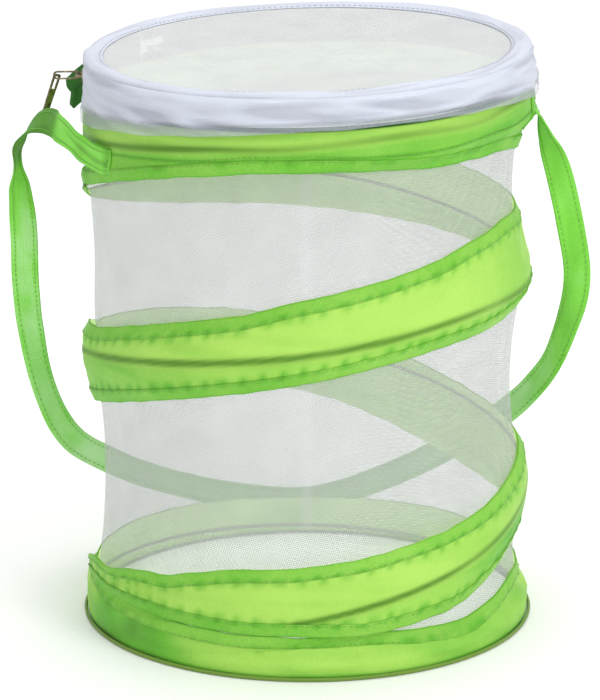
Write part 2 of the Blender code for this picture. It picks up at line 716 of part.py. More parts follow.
def build_slider():
    """Slider body: two plates joined by a web between the chain halves, and a bridge for the link."""
    inner_low = CHAIN_INNER - FIT_GAP * 2 - PLATE_THICKNESS
    inner_high = inner_low + PLATE_THICKNESS
    outer_low = CHAIN_OUTER + FIT_GAP
    outer_high = outer_low + PLATE_THICKNESS
    beam_low = outer_high + BRIDGE_CLEARANCE
    beam_high = beam_low + BRIDGE_THICKNESS
    half = SLIDER_LENGTH / 2
    web_end = half - WEB_INSET
    web_start = web_end - WEB_LENGTH
    beam_end = BRIDGE_LENGTH / 2
    leg = beam_end - BRIDGE_THICKNESS
    along_cuts = sorted({-half, -beam_end, -leg, web_start, leg, beam_end, web_end, half})
    radius_cuts = [inner_low, inner_high, outer_low, outer_high, beam_low, beam_high]
    height_cuts = [-SLIDER_WIDTH / 2, -BRIDGE_WIDTH / 2, -WEB_THICKNESS / 2, WEB_THICKNESS / 2,
                   BRIDGE_WIDTH / 2, SLIDER_WIDTH / 2]

    def is_solid(along, radius, height):
        if inner_low < radius < inner_high or outer_low < radius < outer_high:
            return True
        if inner_high < radius < outer_low:
            return web_start < along < web_end and abs(height) < WEB_THICKNESS / 2
        if abs(height) > BRIDGE_WIDTH / 2 or abs(along) > beam_end:
            return False
        return radius > beam_low or abs(along) > leg

    def place(along, radius, height):
        narrow = 1 - (1 - NOSE_SHARE) * max(0, -along / half)
        wide = height * narrow if abs(height) > BRIDGE_WIDTH / 2 * 1.01 else height
        return slider_place(along, radius, wide)

    return cell_solid(along_cuts, radius_cuts, height_cuts, is_solid, place)


def build_link():
    """A round-wire link, an upright oval round the slider's bridge and round the tab's bar."""
    near = bridge_middle()
    far = near + LINK_REACH
    path = []
    for centre, start in ((near, 90), (far, -90)):
        for step in range(LINK_ARC_STEPS + 1):
            turn = math.radians(start + 180 * step / LINK_ARC_STEPS)
            path.append(Vector((centre, 0)) + Vector((math.cos(turn), math.sin(turn))) * LINK_HALF_HEIGHT)
    count = len(path)
    sections = []
    for index, point in enumerate(path):
        ahead = (path[(index + 1) % count] - path[index - 1]).normalized()
        across = Vector((ahead.y, -ahead.x))
        ring = []
        for side in range(SMALL_WIRE_SIDES):
            turn = 2 * math.pi * side / SMALL_WIRE_SIDES
            spot = point + across * LINK_WIRE / 2 * math.cos(turn)
            ring.append(slider_place(LINK_WIRE / 2 * math.sin(turn), spot.x, spot.y))
        sections.append(ring)
    return loft(sections, closed=True)


def build_tab():
    """Pull tab: a flat plate with a slot that takes the link, tapering to its tip."""
    bar = TAB_BAR / 2
    slot_end = bar + TAB_SLOT_LENGTH
    middle = (slot_end + TAB_LENGTH) / 2
    length_cuts = [-bar, bar, slot_end, middle, TAB_LENGTH * 0.95, TAB_LENGTH]
    width_cuts = [-TAB_WIDTH / 2, -TAB_SLOT_WIDTH / 2, TAB_SLOT_WIDTH / 2, TAB_WIDTH / 2]
    thick_cuts = [-TAB_THICKNESS / 2, TAB_THICKNESS / 2]
    swing = math.radians(TAB_SWING_DEG)

    def is_solid(length, width, thick):
        return not (bar < length < slot_end and abs(width) < TAB_SLOT_WIDTH / 2)

    def place(length, width, thick):
        taper = TAB_TIP_WIDTH / TAB_WIDTH
        share = max(0, (length - slot_end) / (TAB_LENGTH - slot_end))
        scale = 1 - (1 - taper) * share
        if length >= TAB_LENGTH * 0.999 or length < 0:
            scale *= 0.8
        radius = bridge_middle() + LINK_REACH + length * math.sin(swing) + thick * math.cos(swing)
        height = -length * math.cos(swing) + thick * math.sin(swing)
        return slider_place(width * scale, radius, height)

    return cell_solid(length_cuts, width_cuts, thick_cuts, is_solid, place)


def build_tail():
    """The folded-out end of the zip tapes, a flat pointed flag of dark cloth standing out from the rim."""
    start = COVER_RADIUS - TOP_BAND_TAPER + FABRIC_THICKNESS + FIT_GAP
    angle = math.radians(TAIL_ANGLE)
    side = Vector((-math.sin(angle), math.cos(angle), 0)) * TAIL_THICKNESS / 2
    spots = [cylinder_point(start + TAIL_REACH * across, TAIL_ANGLE, TAIL_RISE - TAIL_HEIGHT * (1 - up))
             for across, up in TAIL_OUTLINE_SHARES]
    return loft([[spot - side for spot in spots], [spot + side for spot in spots]])


def build_hinge_panel():
    """The sewn stretch without a zip, joining the lid's rim to the top band."""
    far = CHAIN_REACH + FIT_GAP + TAPE_WIDTH
    first, last = HINGE_ANGLE - HINGE_HALF_DEG, HINGE_ANGLE + HINGE_HALF_DEG
    between = [angle for angle in turn_angles() if first < angle < last]

    def profile(angle):
        inner = column_radius(TAPE_RADIUS - TAPE_THICKNESS / 2, angle)
        outer = column_radius(TAPE_RADIUS + TAPE_THICKNESS / 2, angle)
        return rect_profile(inner, outer, -far, far)

    return swept_profile(profile, [first] + between + [last])


def build_lid_net():
    """The lid's net, a disc that sags a little towards its middle."""
    surface = bmesh.new()
    rings = (0.36, 0.70, 1.0)
    low = LID_TOP - FABRIC_THICKNESS - LID_NET_SAG
    middle = surface.verts.new((0, 0, low))
    rows = []
    for share in rings:
        height = low + LID_NET_SAG * share * share
        rows.append([surface.verts.new(cylinder_point(LID_NET_RADIUS * share, angle, height))
                     for angle in turn_angles()])
    count = len(rows[0])
    for index in range(count):
        following = (index + 1) % count
        surface.faces.new((middle, rows[0][index], rows[0][following]))
        for inner, outer in zip(rows, rows[1:]):
            surface.faces.new((inner[index], outer[index], outer[following], inner[following]))
    bmesh.ops.recalc_face_normals(surface, faces=surface.faces)
    return surface


def lid_rim_profile(angle_deg):
    """Outline of the lid's white rim: flat on top, turned down over the tape."""
    top = LID_TOP
    inner = LID_NET_RADIUS + FIT_GAP
    turn = LID_RIM_RADIUS
    outer = turn + FABRIC_THICKNESS
    return [(inner, top - FABRIC_THICKNESS), (turn, top - FABRIC_THICKNESS), (turn, top - LID_RIM_DROP),
            (outer, top - LID_RIM_DROP), (outer, top), (inner, top)]


def flap_profile(angle_deg):
    """Outline of the flap that hangs over the zip, flaring out to its lower edge."""
    drop = FLAP_DEPTH * round_table(FLAP_EDGE_SHARES, angle_deg)
    high = LID_TOP - FLAP_TUCK
    points = []
    for level in range(FLAP_LEVELS + 1):
        share = level / FLAP_LEVELS
        height = -drop + (high + drop) * share
        points.append((FLAP_RADIUS + FLAP_FLARE * math.cos(share * math.pi / 2), height))
    thickness = [HEM_THICKNESS] + [FABRIC_THICKNESS] * FLAP_LEVELS
    return plate_outline(points, thickness)


def build_root(angle_deg, height):
    """A sewn-down strap end, a small doubled patch on the outside of the top band."""
    inner = COVER_RADIUS + HEM_THICKNESS + FIT_GAP
    first = angle_deg - ROOT_WIDTH_DEG / 2
    angles = [first, angle_deg, first + ROOT_WIDTH_DEG]
    return swept_profile(lambda angle: rect_profile(inner, inner + ROOT_THICKNESS, height - ROOT_HEIGHT / 2,
                                                    height + ROOT_HEIGHT / 2), angles)


def strap_place(shares):
    """A point of the strap's route in metres."""
    return Vector((WIRE_RING_RADIUS * shares[0], WIRE_RING_RADIUS * shares[1], CAGE_HEIGHT * shares[2]))


def strap_sections():
    """Rectangles along the strap's route, its width turning smoothly with the given directions."""
    middles = [strap_place(place) for place, turn in STRAP_ROUTE_SHARES]
    turns = [Vector(turn).normalized() for place, turn in STRAP_ROUTE_SHARES]
    for index in range(1, len(turns)):
        if turns[index].dot(turns[index - 1]) < 0:
            turns[index] = -turns[index]
    count = (len(middles) - 1) * STRAP_STEPS
    line = []
    for step in range(count + 1):
        place = step / STRAP_STEPS
        middle = Vector([smooth_table([item[axis] for item in middles], place) for axis in range(3)])
        turn = Vector([smooth_table([item[axis] for item in turns], place) for axis in range(3)])
        line.append((middle, turn))
    sections = []
    for index, (middle, turn) in enumerate(line):
        ahead = line[min(index + 1, count)][0] - line[max(index - 1, 0)][0]
        ahead.normalize()
        across = (turn - ahead * turn.dot(ahead)).normalized() * STRAP_WIDTH / 2
        through = ahead.cross(across).normalized() * STRAP_THICKNESS / 2
        sections.append([middle + across + through, middle - across + through,
                         middle - across - through, middle + across - through])
    return sections


def build_base():
    """What stays on the floor, and the wall that folds down between it and the rim."""
    add_object("floor_panel", build_disc(FLOOR_RADIUS, 0, FLOOR_THICKNESS), WHITE)
    piping_inner = FLOOR_RADIUS + FIT_GAP
    outline = rect_profile(piping_inner, piping_inner + PIPING_WIDTH, 0, PIPING_HEIGHT)
    add_object("bottom_piping", swept_profile(lambda angle: outline, turn_angles(), closed=True), OLIVE)
    add_object("bottom_wire_ring", ring_wire(lambda angle: BOTTOM_RING_HEIGHT), SPRING_STEEL, 0.35, 1.0)
    add_object("bottom_band", swept_profile(bottom_band_profile, turn_angles(), closed=True), GREEN)
    net = add_object("wall_net", build_wall_net(), NET_WHITE)
    give_thickness(net, NET_THICKNESS)
    add_object("wall_seam_tape", loft(seam_sections()), WHITE)
    add_object("spring_coil", build_coil(), SPRING_STEEL, 0.35, 1.0)
    sleeve_angles = turn_angles(SLEEVE_START_ANGLE, SLEEVE_END_ANGLE, closed=False)
    add_object("spiral_sleeve", swept_profile(sleeve_profile, sleeve_angles), GREEN)


def build_rim(rim):
    """The top ring with its band and the lower half of the zip."""
    add_object("top_wire_ring", ring_wire(top_ring_height), SPRING_STEEL, 0.35, 1.0)
    add_object("top_band", swept_profile(top_band_profile, turn_angles(), closed=True), GREEN)
    add_object("zip_tape_lower", build_tape(-1), OLIVE, parent=rim)
    chain = build_chain(-1, LOWER_CHAIN_START, LOWER_CHAIN_END)
    add_object("zip_chain_lower", chain, OLIVE, 0.5, parent=rim)
    add_object("zip_stop_first", build_stop(FIRST_STOP_ANGLE), BRONZE, 0.4, 1.0, parent=rim)
    add_object("zip_stop_last", build_stop(LAST_STOP_ANGLE), BRONZE, 0.4, 1.0, parent=rim)
    left = build_root(LEFT_ROOT_ANGLE, CAGE_HEIGHT * LEFT_ROOT_HEIGHT_SHARE)
    add_object("strap_root_left", left, DEEP_GREEN)
    right = build_root(RIGHT_ROOT_ANGLE, CAGE_HEIGHT * RIGHT_ROOT_HEIGHT_SHARE)
    add_object("strap_root_right", right, DEEP_GREEN)


def build_lid(rim):
    """The lid: net, rim, hoop, flap and the upper half of the zip, with the origin on the sewn hinge."""
    hinge = cylinder_point(TAPE_RADIUS * math.cos(math.radians(HINGE_HALF_DEG)), HINGE_ANGLE, 0)
    net = add_object("lid_net", build_lid_net(), NET_WHITE, parent=rim, pivot=hinge)
    give_thickness(net, NET_THICKNESS)
    add_object("lid_rim", swept_profile(lid_rim_profile, turn_angles(), closed=True), WHITE, parent=rim,
               pivot=hinge)
    hoop = swept_profile(lambda angle: wire_profile(HOOP_RADIUS, HOOP_HEIGHT, HOOP_DIAMETER), turn_angles(),
                         closed=True)
    add_object("lid_hoop", hoop, SPRING_STEEL, 0.35, 1.0, parent=rim, pivot=hinge)
    add_object("zip_tape_upper", build_tape(1), OLIVE, parent=rim, pivot=hinge)
    add_object("zip_chain_upper", build_chain(1, UPPER_CHAIN_START, UPPER_CHAIN_END), OLIVE, 0.5, parent=rim,
               pivot=hinge)
    flap = swept_profile(flap_profile, turn_angles(FLAP_START_ANGLE, FLAP_END_ANGLE, closed=False))
    add_object("lid_flap", flap, WHITE, parent=rim, pivot=hinge)
    add_object("hinge_panel", build_hinge_panel(), WHITE, parent=rim, pivot=hinge)
    add_object("zip_tail", build_tail(), DARK_GREEN, parent=rim, pivot=hinge)


def build_slider_group(rim):
    """The slider runs round the rim's middle; the link and the tab swing on its bridge."""
    add_object("slider_body", build_slider(), BRONZE, 0.4, 1.0, parent=rim, smooth_deg=30)
    swing = slider_place(0, bridge_middle(), 0)
    add_object("pull_link", build_link(), BRONZE, 0.4, 1.0, parent=rim, pivot=swing)
    add_object("pull_tab", build_tab(), BRONZE, 0.4, 1.0, parent=rim, pivot=swing, smooth_deg=30)


def build_strap():
    """The carrying strap, its origin halfway between its two sewn ends, on the line it swings about."""
    left, right = strap_place(STRAP_ROUTE_SHARES[0][0]), strap_place(STRAP_ROUTE_SHARES[-1][0])
    add_object("strap", loft(strap_sections()), DEEP_GREEN, pivot=(left + right) / 2)


def main():
    clear_scene()
    rim = add_empty("rim_frame", RIM_FRAME, WIRE_RING_RADIUS / 10)
    build_base()
    build_rim(rim)
    build_lid(rim)
    build_slider_group(rim)
    build_strap()


if __name__ == "__main__":
    main()
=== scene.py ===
"""Looks of a pop-up insect cage: a net cylinder on a spiral spring, with a zip lid and a strap.

Lengths are in metres, +Z is up and the front looks towards -Y. Angles are in degrees,
counterclockwise from +X seen from above; past 360 they are further up the spiral.

A cloth is a grid that a function of (share along, share across) bends into place. It has its UV
map in metres and two values on its vertices: tone, how deep its colour is, which is the deeper
colour of doubled hems together with painted shade in folds, gathers and on the darker sides; and
crease, how much painted shade it gets where it is sharply folded.
"""

import math
from functools import lru_cache, wraps

import bmesh
import bpy
from bpy.props import FloatProperty, FloatVectorProperty, PointerProperty
from mathutils import Matrix, Vector, noise


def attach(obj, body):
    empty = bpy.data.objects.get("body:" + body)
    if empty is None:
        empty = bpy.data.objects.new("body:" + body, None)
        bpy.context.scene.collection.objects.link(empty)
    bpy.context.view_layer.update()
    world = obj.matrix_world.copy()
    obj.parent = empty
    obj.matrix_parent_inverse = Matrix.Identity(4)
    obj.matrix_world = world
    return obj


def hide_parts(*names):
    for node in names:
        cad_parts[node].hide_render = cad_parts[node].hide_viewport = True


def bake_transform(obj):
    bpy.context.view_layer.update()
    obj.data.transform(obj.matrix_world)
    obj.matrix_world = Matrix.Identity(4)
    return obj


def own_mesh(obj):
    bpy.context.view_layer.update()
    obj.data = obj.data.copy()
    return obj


bl_info = {
    "name": "Pop-up insect cage",
    "version": (1, 0, 0),
    "blender": (4, 5, 0),
    "location": "3D View > Sidebar > Insect cage",
    "description": "Dresses the packed cage: net, green sleeve and bands, zip, lid and strap",
    "category": "Object",
}

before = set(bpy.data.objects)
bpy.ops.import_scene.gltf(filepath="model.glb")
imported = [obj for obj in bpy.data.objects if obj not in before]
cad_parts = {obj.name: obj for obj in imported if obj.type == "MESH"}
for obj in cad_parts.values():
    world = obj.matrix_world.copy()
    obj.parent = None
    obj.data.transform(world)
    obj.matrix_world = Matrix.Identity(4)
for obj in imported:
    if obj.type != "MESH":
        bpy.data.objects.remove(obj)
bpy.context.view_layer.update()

# Sizes of the cage, its wires and its cloths
CAGE_HEIGHT = 0.300
RING_RADIUS = 0.1135
WIRE = 0.0020
WIRE_GAP = 0.0005
WIRE_SIDES = 10
NET_RADIUS = 0.1120
NET_CLOTH = 0.0003
COVER_RADIUS = 0.1148
COVER_OFFSET = 0.0007
CLOTH = 0.0004
HEM_CLOTH = 0.0005
HEM_WIDTH = 0.0068
LAYER_GAP = 0.0001
FLOOR_THICKNESS = 0.0005
FLOOR_RADIUS = 0.1152
FLOOR_SOFTNESS = 0.0010
BOTTOM_RING = 0.0018
BOTTOM_TURN_UP = 0.0004
PIPING_RADIUS, PIPING_HALF_HEIGHT, PIPING_GAP = 0.00085, 0.0010, 0.0003

# Stitches: where a row runs on its hem, and the half sizes of one thread hump
HEM_STITCH_SHARE = 0.86
THREAD_WIDTH, THREAD_HEIGHT, THREAD_RISE = 0.00026, 0.00022, 0.00015

# Spring coil, and the wall net that is drawn in between its turns. Where the outline is straighter:
# angle, spread, share of the waist that is taken off, height and rise
COIL_START = 0.0043
COIL_TURNS = 3
COIL_LAST_RISE_DEG = 75
NET_JOIN_DEG = 90
WAIST_PULL = 0.0062
WAIST_FULL_GAP = 0.065
STRAIGHT_LOW_RIGHT = (357, 26, 0.45, 0.085, 0.02)
STRAIGHT_HIGH_LEFT = (182, 32, 0.75, 0.140, 0.03)
NET_SOFTNESS = 0.0007
SEAM_ANGLE, SEAM_WIDTH, SEAM_THICKNESS, SEAM_STANDOFF = 90, 0.006, 0.0005, 0.0013
SEAM_LOW, SEAM_BELOW_RING = 0.004, 0.006

# Spiral sleeve: its middle line and, as shares of half its width, the wire in it, every 45 degrees
TABLE_STEP = 45
SLEEVE_WIDTH = 0.040
SLEEVE_FIRST, SLEEVE_START, SLEEVE_END = 180, 190, 910
SLEEVE_LEAST = 0.0018
SLEEVE_BAND_GAP = 0.0005
SLEEVE_SHARES = (0.033, 0.083, 0.130, 0.161, 0.223, 0.262, 0.346, 0.400, 0.447,
                 0.522, 0.585, 0.637, 0.655, 0.671, 0.693, 0.728, 0.815, 0.955)
WIRE_SHARES = (0.02, -0.60, -0.42, 0.10, 0.33, 0.66, 0.27, 0.30, 0.36,
               0.05, -0.24, -0.45, -0.66, -0.40, -0.10, -0.35, -0.84)
TAUT_FROM, LOOSE_FROM = 290, 340
SLEEVE_HEM_SHARE = 0.3
GATHER_PITCH = 0.0105
BULGE_ANGLE, BULGE_SPREAD, BULGE = 541, 14, 0.0018

# How far the sewn edges wander from their even line: (angle, metres)
SLEEVE_TOP_WANDER = (
    (180, 0.0), (197, 0.0048), (208, 0.0010), (219, 0.0024), (233, 0.0012), (239, 0.0028),
    (250, 0.0040), (268, 0.0018), (282, 0.0020), (298, 0.0044), (313, 0.0050), (326, 0.0050),
    (350, 0.0028), (385, 0.0), (528, 0.0), (541, 0.0028), (558, 0.0), (611, 0.0006),
    (628, 0.0030), (660, 0.0030), (683, 0.0054), (697, 0.0070), (718, 0.0030), (745, 0.0))
SLEEVE_LOW_WANDER = (
    (270, 0.0), (298, 0.0016), (314, 0.0014), (326, 0.0036), (338, 0.0048), (362, 0.0020),
    (390, 0.0), (565, 0.0), (611, 0.0008), (650, 0.0004), (663, -0.0006), (684, -0.0026),
    (700, -0.0014), (720, 0.0))
BOTTOM_WANDER = ((250, 0.0), (270, 0.0014), (290, 0.0030), (302, 0.0024), (316, 0.0010),
                 (330, 0.0022), (345, 0.0036), (360, 0.0))
TOP_LOW_WANDER = ((215, 0.0), (234, 0.0012), (243, 0.0017), (255, 0.0020), (268, 0.0009),
                  (287, 0.0), (303, 0.0), (319, 0.0020), (334, 0.0044), (350, 0.0028), (360, 0.0))
CREASE_ABOVE_RING = ((190, 0.0030), (243, 0.0038), (268, 0.0016), (292, 0.0017), (315, 0.0001),
                     (341, 0.0042), (360, 0.002))
LINE_UNDER_RING = ((215, 0.0020), (243, 0.0026), (268, 0.0050), (304, 0.0092), (330, 0.0078),
                   (352, 0.0060))

# Bands: their free edges as shares of the cage's height, every 45 degrees
BOTTOM_TOP_SHARES = (0.088, 0.086, 0.077, 0.086, 0.092, 0.082, 0.072, 0.058)
TOP_LOW_SHARES = (0.832, 0.836, 0.812, 0.784, 0.773, 0.842, 0.882, 0.866)
BAND_FLAT, BAND_FALL = 0.0052, 0.010
BAND_COLUMNS, HEM_ROWS = 240, 6
BAND_EDGE_WAVE = 0.0006
ZIP_HEIGHT = 0.28850
LEAN_ROLL, LEAN_PITCH = -1.66, -1.50
TOP_RING, SIDE_LEAN, FRONT_LEAN = 0.2670, 0.0110, 0.0100
BAND_BELOW_ZIP = 0.0054
BAND_TAPER = 0.0008
RIDGE_FLAT = 0.0012

# Zip, in the rim's own leaning frame. Of each half: name, side of the zip's middle line, body,
# angles of its first and last tooth, and how far into a step the first tooth stands. Of each metal
# piece: the solid, the piece made from it, its body, and the rounding of its edges
CHAIN_RADIUS = 0.1130
CHAIN_SPLIT, CHAIN_WIDTH, CHAIN_GAP = 0.0012, 0.0024, 0.0003
TAPE_RADIUS, TAPE_WIDTH, TAPE_THICKNESS = 0.1131, 0.0046, 0.0006
TAPE_FROM, TAPE_TO = 170, 500
TAPE_EDGE = CHAIN_SPLIT / 2 + CHAIN_WIDTH + CHAIN_GAP
ZIP_HALVES = (("lower", -1, "rim", 175, 495, 0.25), ("upper", 1, "lid", 185, 490, 0.75))
TOOTH_PITCH, TOOTH_FROM_MIDDLE = 0.0015, 0.0016
TOOTH_HALF_SIZES = (0.0011, 0.00062, 0.0014)
HINGE_ANGLE, HINGE_HALF = 155, 14
SLIDER_ANGLE = 176
TAB_SWING, TAB_TURN = math.radians(20), math.radians(50)
METAL_PIECES = (("slider_body", "slider_casting", "slider", 0.0003),
                ("pull_link", "pull_link_wire", "pull", 0.0),
                ("pull_tab", "pull_tab_plate", "pull", 0.00025))

# Lid
LID_NET_RADIUS, LID_SAG = 0.1055, 0.0022
LID_TOP, LID_DROP, LID_RIM_RADIUS = 0.0118, 0.0042, 0.1138
LID_RIM_INNER = LID_NET_RADIUS - 0.0012
LID_RIM_WIDTH, LID_RIM_BEND = 0.0140, 0.0014
LID_RIM_STITCH_SHARE = 0.90
HOOP_RADIUS, HOOP_WIRE, HOOP_HEIGHT = 0.1110, 0.0016, 0.0100
FLAP_FROM, FLAP_TO = 190, 490
FLAP_RADIUS, FLAP_FLARE, FLAP_DEPTH = 0.1146, 0.0038, 0.0190
FLAP_BELOW_TOP = 0.0004
FLAP_SHARES = (0.58, 0.60, 0.62, 0.70, 1.0, 0.58, 0.23, 0.22)
TAIL_ANGLE, TAIL_START, TAIL_REACH, TAIL_HEIGHT, TAIL_RISE = 167, 0.1147, 0.0138, 0.0250, 0.0035
TAIL_THICKNESS, TAIL_AREA_SHARE = 0.0009, 0.75
TAIL_LEFT = ((0.00, 1.00), (0.00, 0.30), (0.40, 0.14), (0.72, 0.00))
TAIL_RIGHT = ((0.00, 1.00), (0.22, 0.97), (0.62, 0.80), (1.00, 0.60), (0.97, 0.44), (0.78, 0.34),
              (0.86, 0.08), (0.72, 0.00))

# Strap. Of each sewn end: angle, height of the patch's middle, and how much taller it is. Its
# stitches go round its border and cross it, in shares of its width and height
STRAP_WIDTH, STRAP_THICKNESS = 0.0140, 0.0008
STRAP_STITCH_SHARES = (0.15, 0.85)
STRAP_STITCH_FROM, STRAP_STITCH_TO = 0.012, 0.988
STRAP_SEWN_IN = 0.0017
ROOT_HALF_DEG, ROOT_HEIGHT, ROOT_RADIUS = 4.5, 0.0130, 0.1160
ROOT_THICKNESS, ROOT_THREAD_LENGTH, ROOT_THREAD_RISE = 0.0008, 0.078, 0.0009
ROOTS = {"left": (207, 0.2565, 0.0), "right": (354, 0.2700, 0.0040)}
ROOT_BORDER = ((0.12, 0.12), (0.88, 0.12), (0.88, 0.88), (0.12, 0.88), (0.12, 0.12), (0.88, 0.88),
               (0.88, 0.12), (0.12, 0.88))

# The strap's route: its middle as shares of the cage's height, and the way its width points
STRAP_ROUTE = (
    ((-0.3372, -0.2003, 0.8540), (0.05, -0.03, -1.00)),
    ((-0.3590, -0.1680, 0.8560), (0.12, -0.10, -0.98)),
    ((-0.3900, -0.1300, 0.8680), (0.28, -0.30, -0.90)),
    ((-0.4190, -0.0860, 0.8830), (0.18, -0.52, -0.82)),
    ((-0.4400, -0.0470, 0.8870), (-0.05, -0.65, -0.75)),
    ((-0.4660, -0.0260, 0.8770), (-0.40, -0.70, -0.60)),
    ((-0.4890, -0.0180, 0.8470), (-0.45, -0.85, -0.30)),
    ((-0.4960, -0.0160, 0.8050), (-0.20, -0.98, 0.00)),
    ((-0.4920, -0.0120, 0.7500), (-0.75, -0.65, 0.00)),
    ((-0.4873, -0.0030, 0.6733), (-1.00, -0.15, 0.00)),
    ((-0.4867, 0.0167, 0.5833), (-0.98, -0.20, 0.00)),
    ((-0.4800, 0.0533, 0.4833), (-0.85, -0.45, -0.10)),
    ((-0.4617, 0.1033, 0.3667), (-0.70, -0.55, -0.45)),
    ((-0.4233, 0.1867, 0.2533), (-0.55, -0.25, -0.80)),
    ((-0.3600, 0.2833, 0.1767), (-0.45, -0.10, -0.90)),
    ((-0.2667, 0.3700, 0.1100), (-0.30, -0.05, -0.95)),
    ((-0.1400, 0.4233, 0.0633), (-0.15, 0.00, -0.99)),
    ((0.0083, 0.4367, 0.0500), (0.05, 0.00, -1.00)),
    ((0.1467, 0.4200, 0.1000), (0.35, 0.00, -0.94)),
    ((0.2667, 0.3633, 0.1800), (0.45, -0.15, -0.88)),
    ((0.3633, 0.2533, 0.2833), (0.45, -0.55, -0.70)),
    ((0.4200, 0.1433, 0.3867), (0.50, -0.80, -0.35)),
    ((0.4533, 0.0633, 0.5000), (0.75, -0.65, -0.10)),
    ((0.4650, 0.0133, 0.5967), (0.97, -0.25, 0.00)),
    ((0.4483, -0.0133, 0.7067), (1.00, -0.05, 0.00)),
    ((0.4250, -0.0280, 0.8050), (0.95, -0.30, 0.10)),
    ((0.4030, -0.0400, 0.8700), (0.40, -0.90, 0.05)),
    ((0.3915, -0.0412, 0.9100), (-0.10, -0.99, 0.00)),
)

# Stage. Of each lamp: name, place, aim, size and power
LAMPS = (("key softbox", (1.5, -1.7, 1.7), (0, 0, 0.15), 1.2, 28.0),
         ("fill softbox", (-1.3, -2.0, 1.2), (0, 0, 0.15), 1.4, 6.0),
         ("top softbox", (0.1, 0.6, 2.6), (0.0, 0.6, 0.0), 2.6, 34.0))
SKY_STRENGTH = 0.68
CAMERA_PLACE, CAMERA_DOWN_DEG, CAMERA_LENS = (-0.0039, -2.6, 0.928), 16.86, 269.2
STAGE_HALF, STAGE_BELOW = 6.0, 0.0002

RIM_FRAME = (Matrix.Translation((0, 0, ZIP_HEIGHT))
             @ Matrix.Rotation(math.radians(LEAN_ROLL), 4, "Y")
             @ Matrix.Rotation(math.radians(LEAN_PITCH), 4, "X"))


# Shape of the cage

def cylinder_point(radius, angle, height):
    turn = math.radians(angle)
    return Vector((radius * math.cos(turn), radius * math.sin(turn), height))


def rim_point(radius, angle, height):
    """A point given in the rim's leaning frame."""
    return RIM_FRAME @ cylinder_point(radius, angle, height)


def outwards(point):
    """The level direction from the cage's axis to a point."""
    return Vector((point.x, point.y, 0)).normalized()


def arc(angle, radius=RING_RADIUS):
    """Length of an angle's arc."""
    return math.radians(angle) * radius


def clamp(value, low=0.0, high=1.0):
    return min(max(value, low), high)


def ease(value):
    """Smooth step from 0 to 1."""
    value = clamp(value)
    return value * value * (3 - 2 * value)


def bell(distance, spread):
    """1 at no distance, and next to nothing at twice the spread."""
    return math.exp(-(distance / spread) ** 2)


def smooth_table(table, place):
    """Read a table between its entries, on a smooth curve through them."""
    last = len(table) - 1
    place = clamp(place, 0, last)
    index = min(int(place), last - 1)
    before, start = table[max(index - 1, 0)], table[index]
    end, after = table[index + 1], table[min(index + 2, last)]
    part = place - index
    return (start * (2 * part ** 3 - 3 * part ** 2 + 1)
            + (end - before) / 2 * (part ** 3 - 2 * part ** 2 + part)
            + end * (3 * part ** 2 - 2 * part ** 3)
            + (after - start) / 2 * (part ** 3 - part ** 2))


def round_table(table, angle):
    """Read a table that goes once round the cage."""
    count = len(table)
    return smooth_table(table * 3, (angle % 360) / 360 * count + count)


def between(table, place):
    """Read pairs of (place, value) with eased steps between them; the ends hold on."""
    if place <= table[0][0]:
        return table[0][1]
    for (low, start), (high, end) in zip(table, table[1:]):
        if place <= high:
            return start + (end - start) * ease((place - low) / (high - low))
    return table[-1][1]


def along_line(path, share):
    """A point at a share of a polyline's length."""
    points = [Vector(point) for point in path]
    steps = [(two - one).length for one, two in zip(points, points[1:])]
    left = clamp(share) * sum(steps)
    for one, two, step in zip(points, points[1:], steps):
        if left <= step:
            return one.lerp(two, left / step)
        left -= step
    return points[-1]


def ripple(angle, height, across, up, seed):
    """Smooth noise on the wall from -1 to 1, without a seam, in waves of a size across and up."""
    spot = cylinder_point(RING_RADIUS, angle, height)
    place = (spot.x / across + seed, spot.y / across - seed, height / up + seed)
    return noise.noise(Vector(place))


def round_ripple(angle, size, seed):
    """Smooth noise that only changes round the cage."""
    return ripple(angle, 0, across=size, up=1.0, seed=seed)


def strip_noise(along, across, seed):
    """Smooth noise along an open strip."""
    return noise.noise(Vector((along, across, seed)))


def top_ring_height(angle):
    turn = math.radians(angle)
    return TOP_RING + SIDE_LEAN * math.cos(turn) - FRONT_LEAN * math.sin(turn)


def bottom_band_top(angle):
    even = CAGE_HEIGHT * round_table(BOTTOM_TOP_SHARES, angle)
    return even + between(BOTTOM_WANDER, angle % 360)


def top_band_low(angle):
    return CAGE_HEIGHT * round_table(TOP_LOW_SHARES, angle) + between(TOP_LOW_WANDER, angle % 360)


def top_band_high(angle):
    return rim_point(CHAIN_RADIUS, angle, 0).z - BAND_BELOW_ZIP


def sleeve_height(angle):
    return CAGE_HEIGHT * smooth_table(SLEEVE_SHARES, (angle - SLEEVE_FIRST) / TABLE_STEP)


def wandering_height(angle):
    """Height of the wire inside the sleeve."""
    share = smooth_table(WIRE_SHARES, (angle - SLEEVE_FIRST) / TABLE_STEP)
    return sleeve_height(angle) + SLEEVE_WIDTH / 2 * share


@lru_cache(maxsize=None)
def coil_height(angle):
    """Height of the spring wire from the bottom ring to the top ring."""
    last_sleeve = SLEEVE_FIRST + TABLE_STEP * (len(WIRE_SHARES) - 1)
    if angle <= SLEEVE_FIRST:
        part = max(angle, 0) / SLEEVE_FIRST
        return COIL_START + (wandering_height(SLEEVE_FIRST) - COIL_START) * part * part
    if angle <= last_sleeve:
        return wandering_height(angle)
    start = wandering_height(last_sleeve)
    part = min((angle - last_sleeve) / COIL_LAST_RISE_DEG, 1)
    under_ring = top_ring_height(angle) - WIRE - WIRE_GAP
    return start + (under_ring - start) * math.sin(part * math.pi / 2)


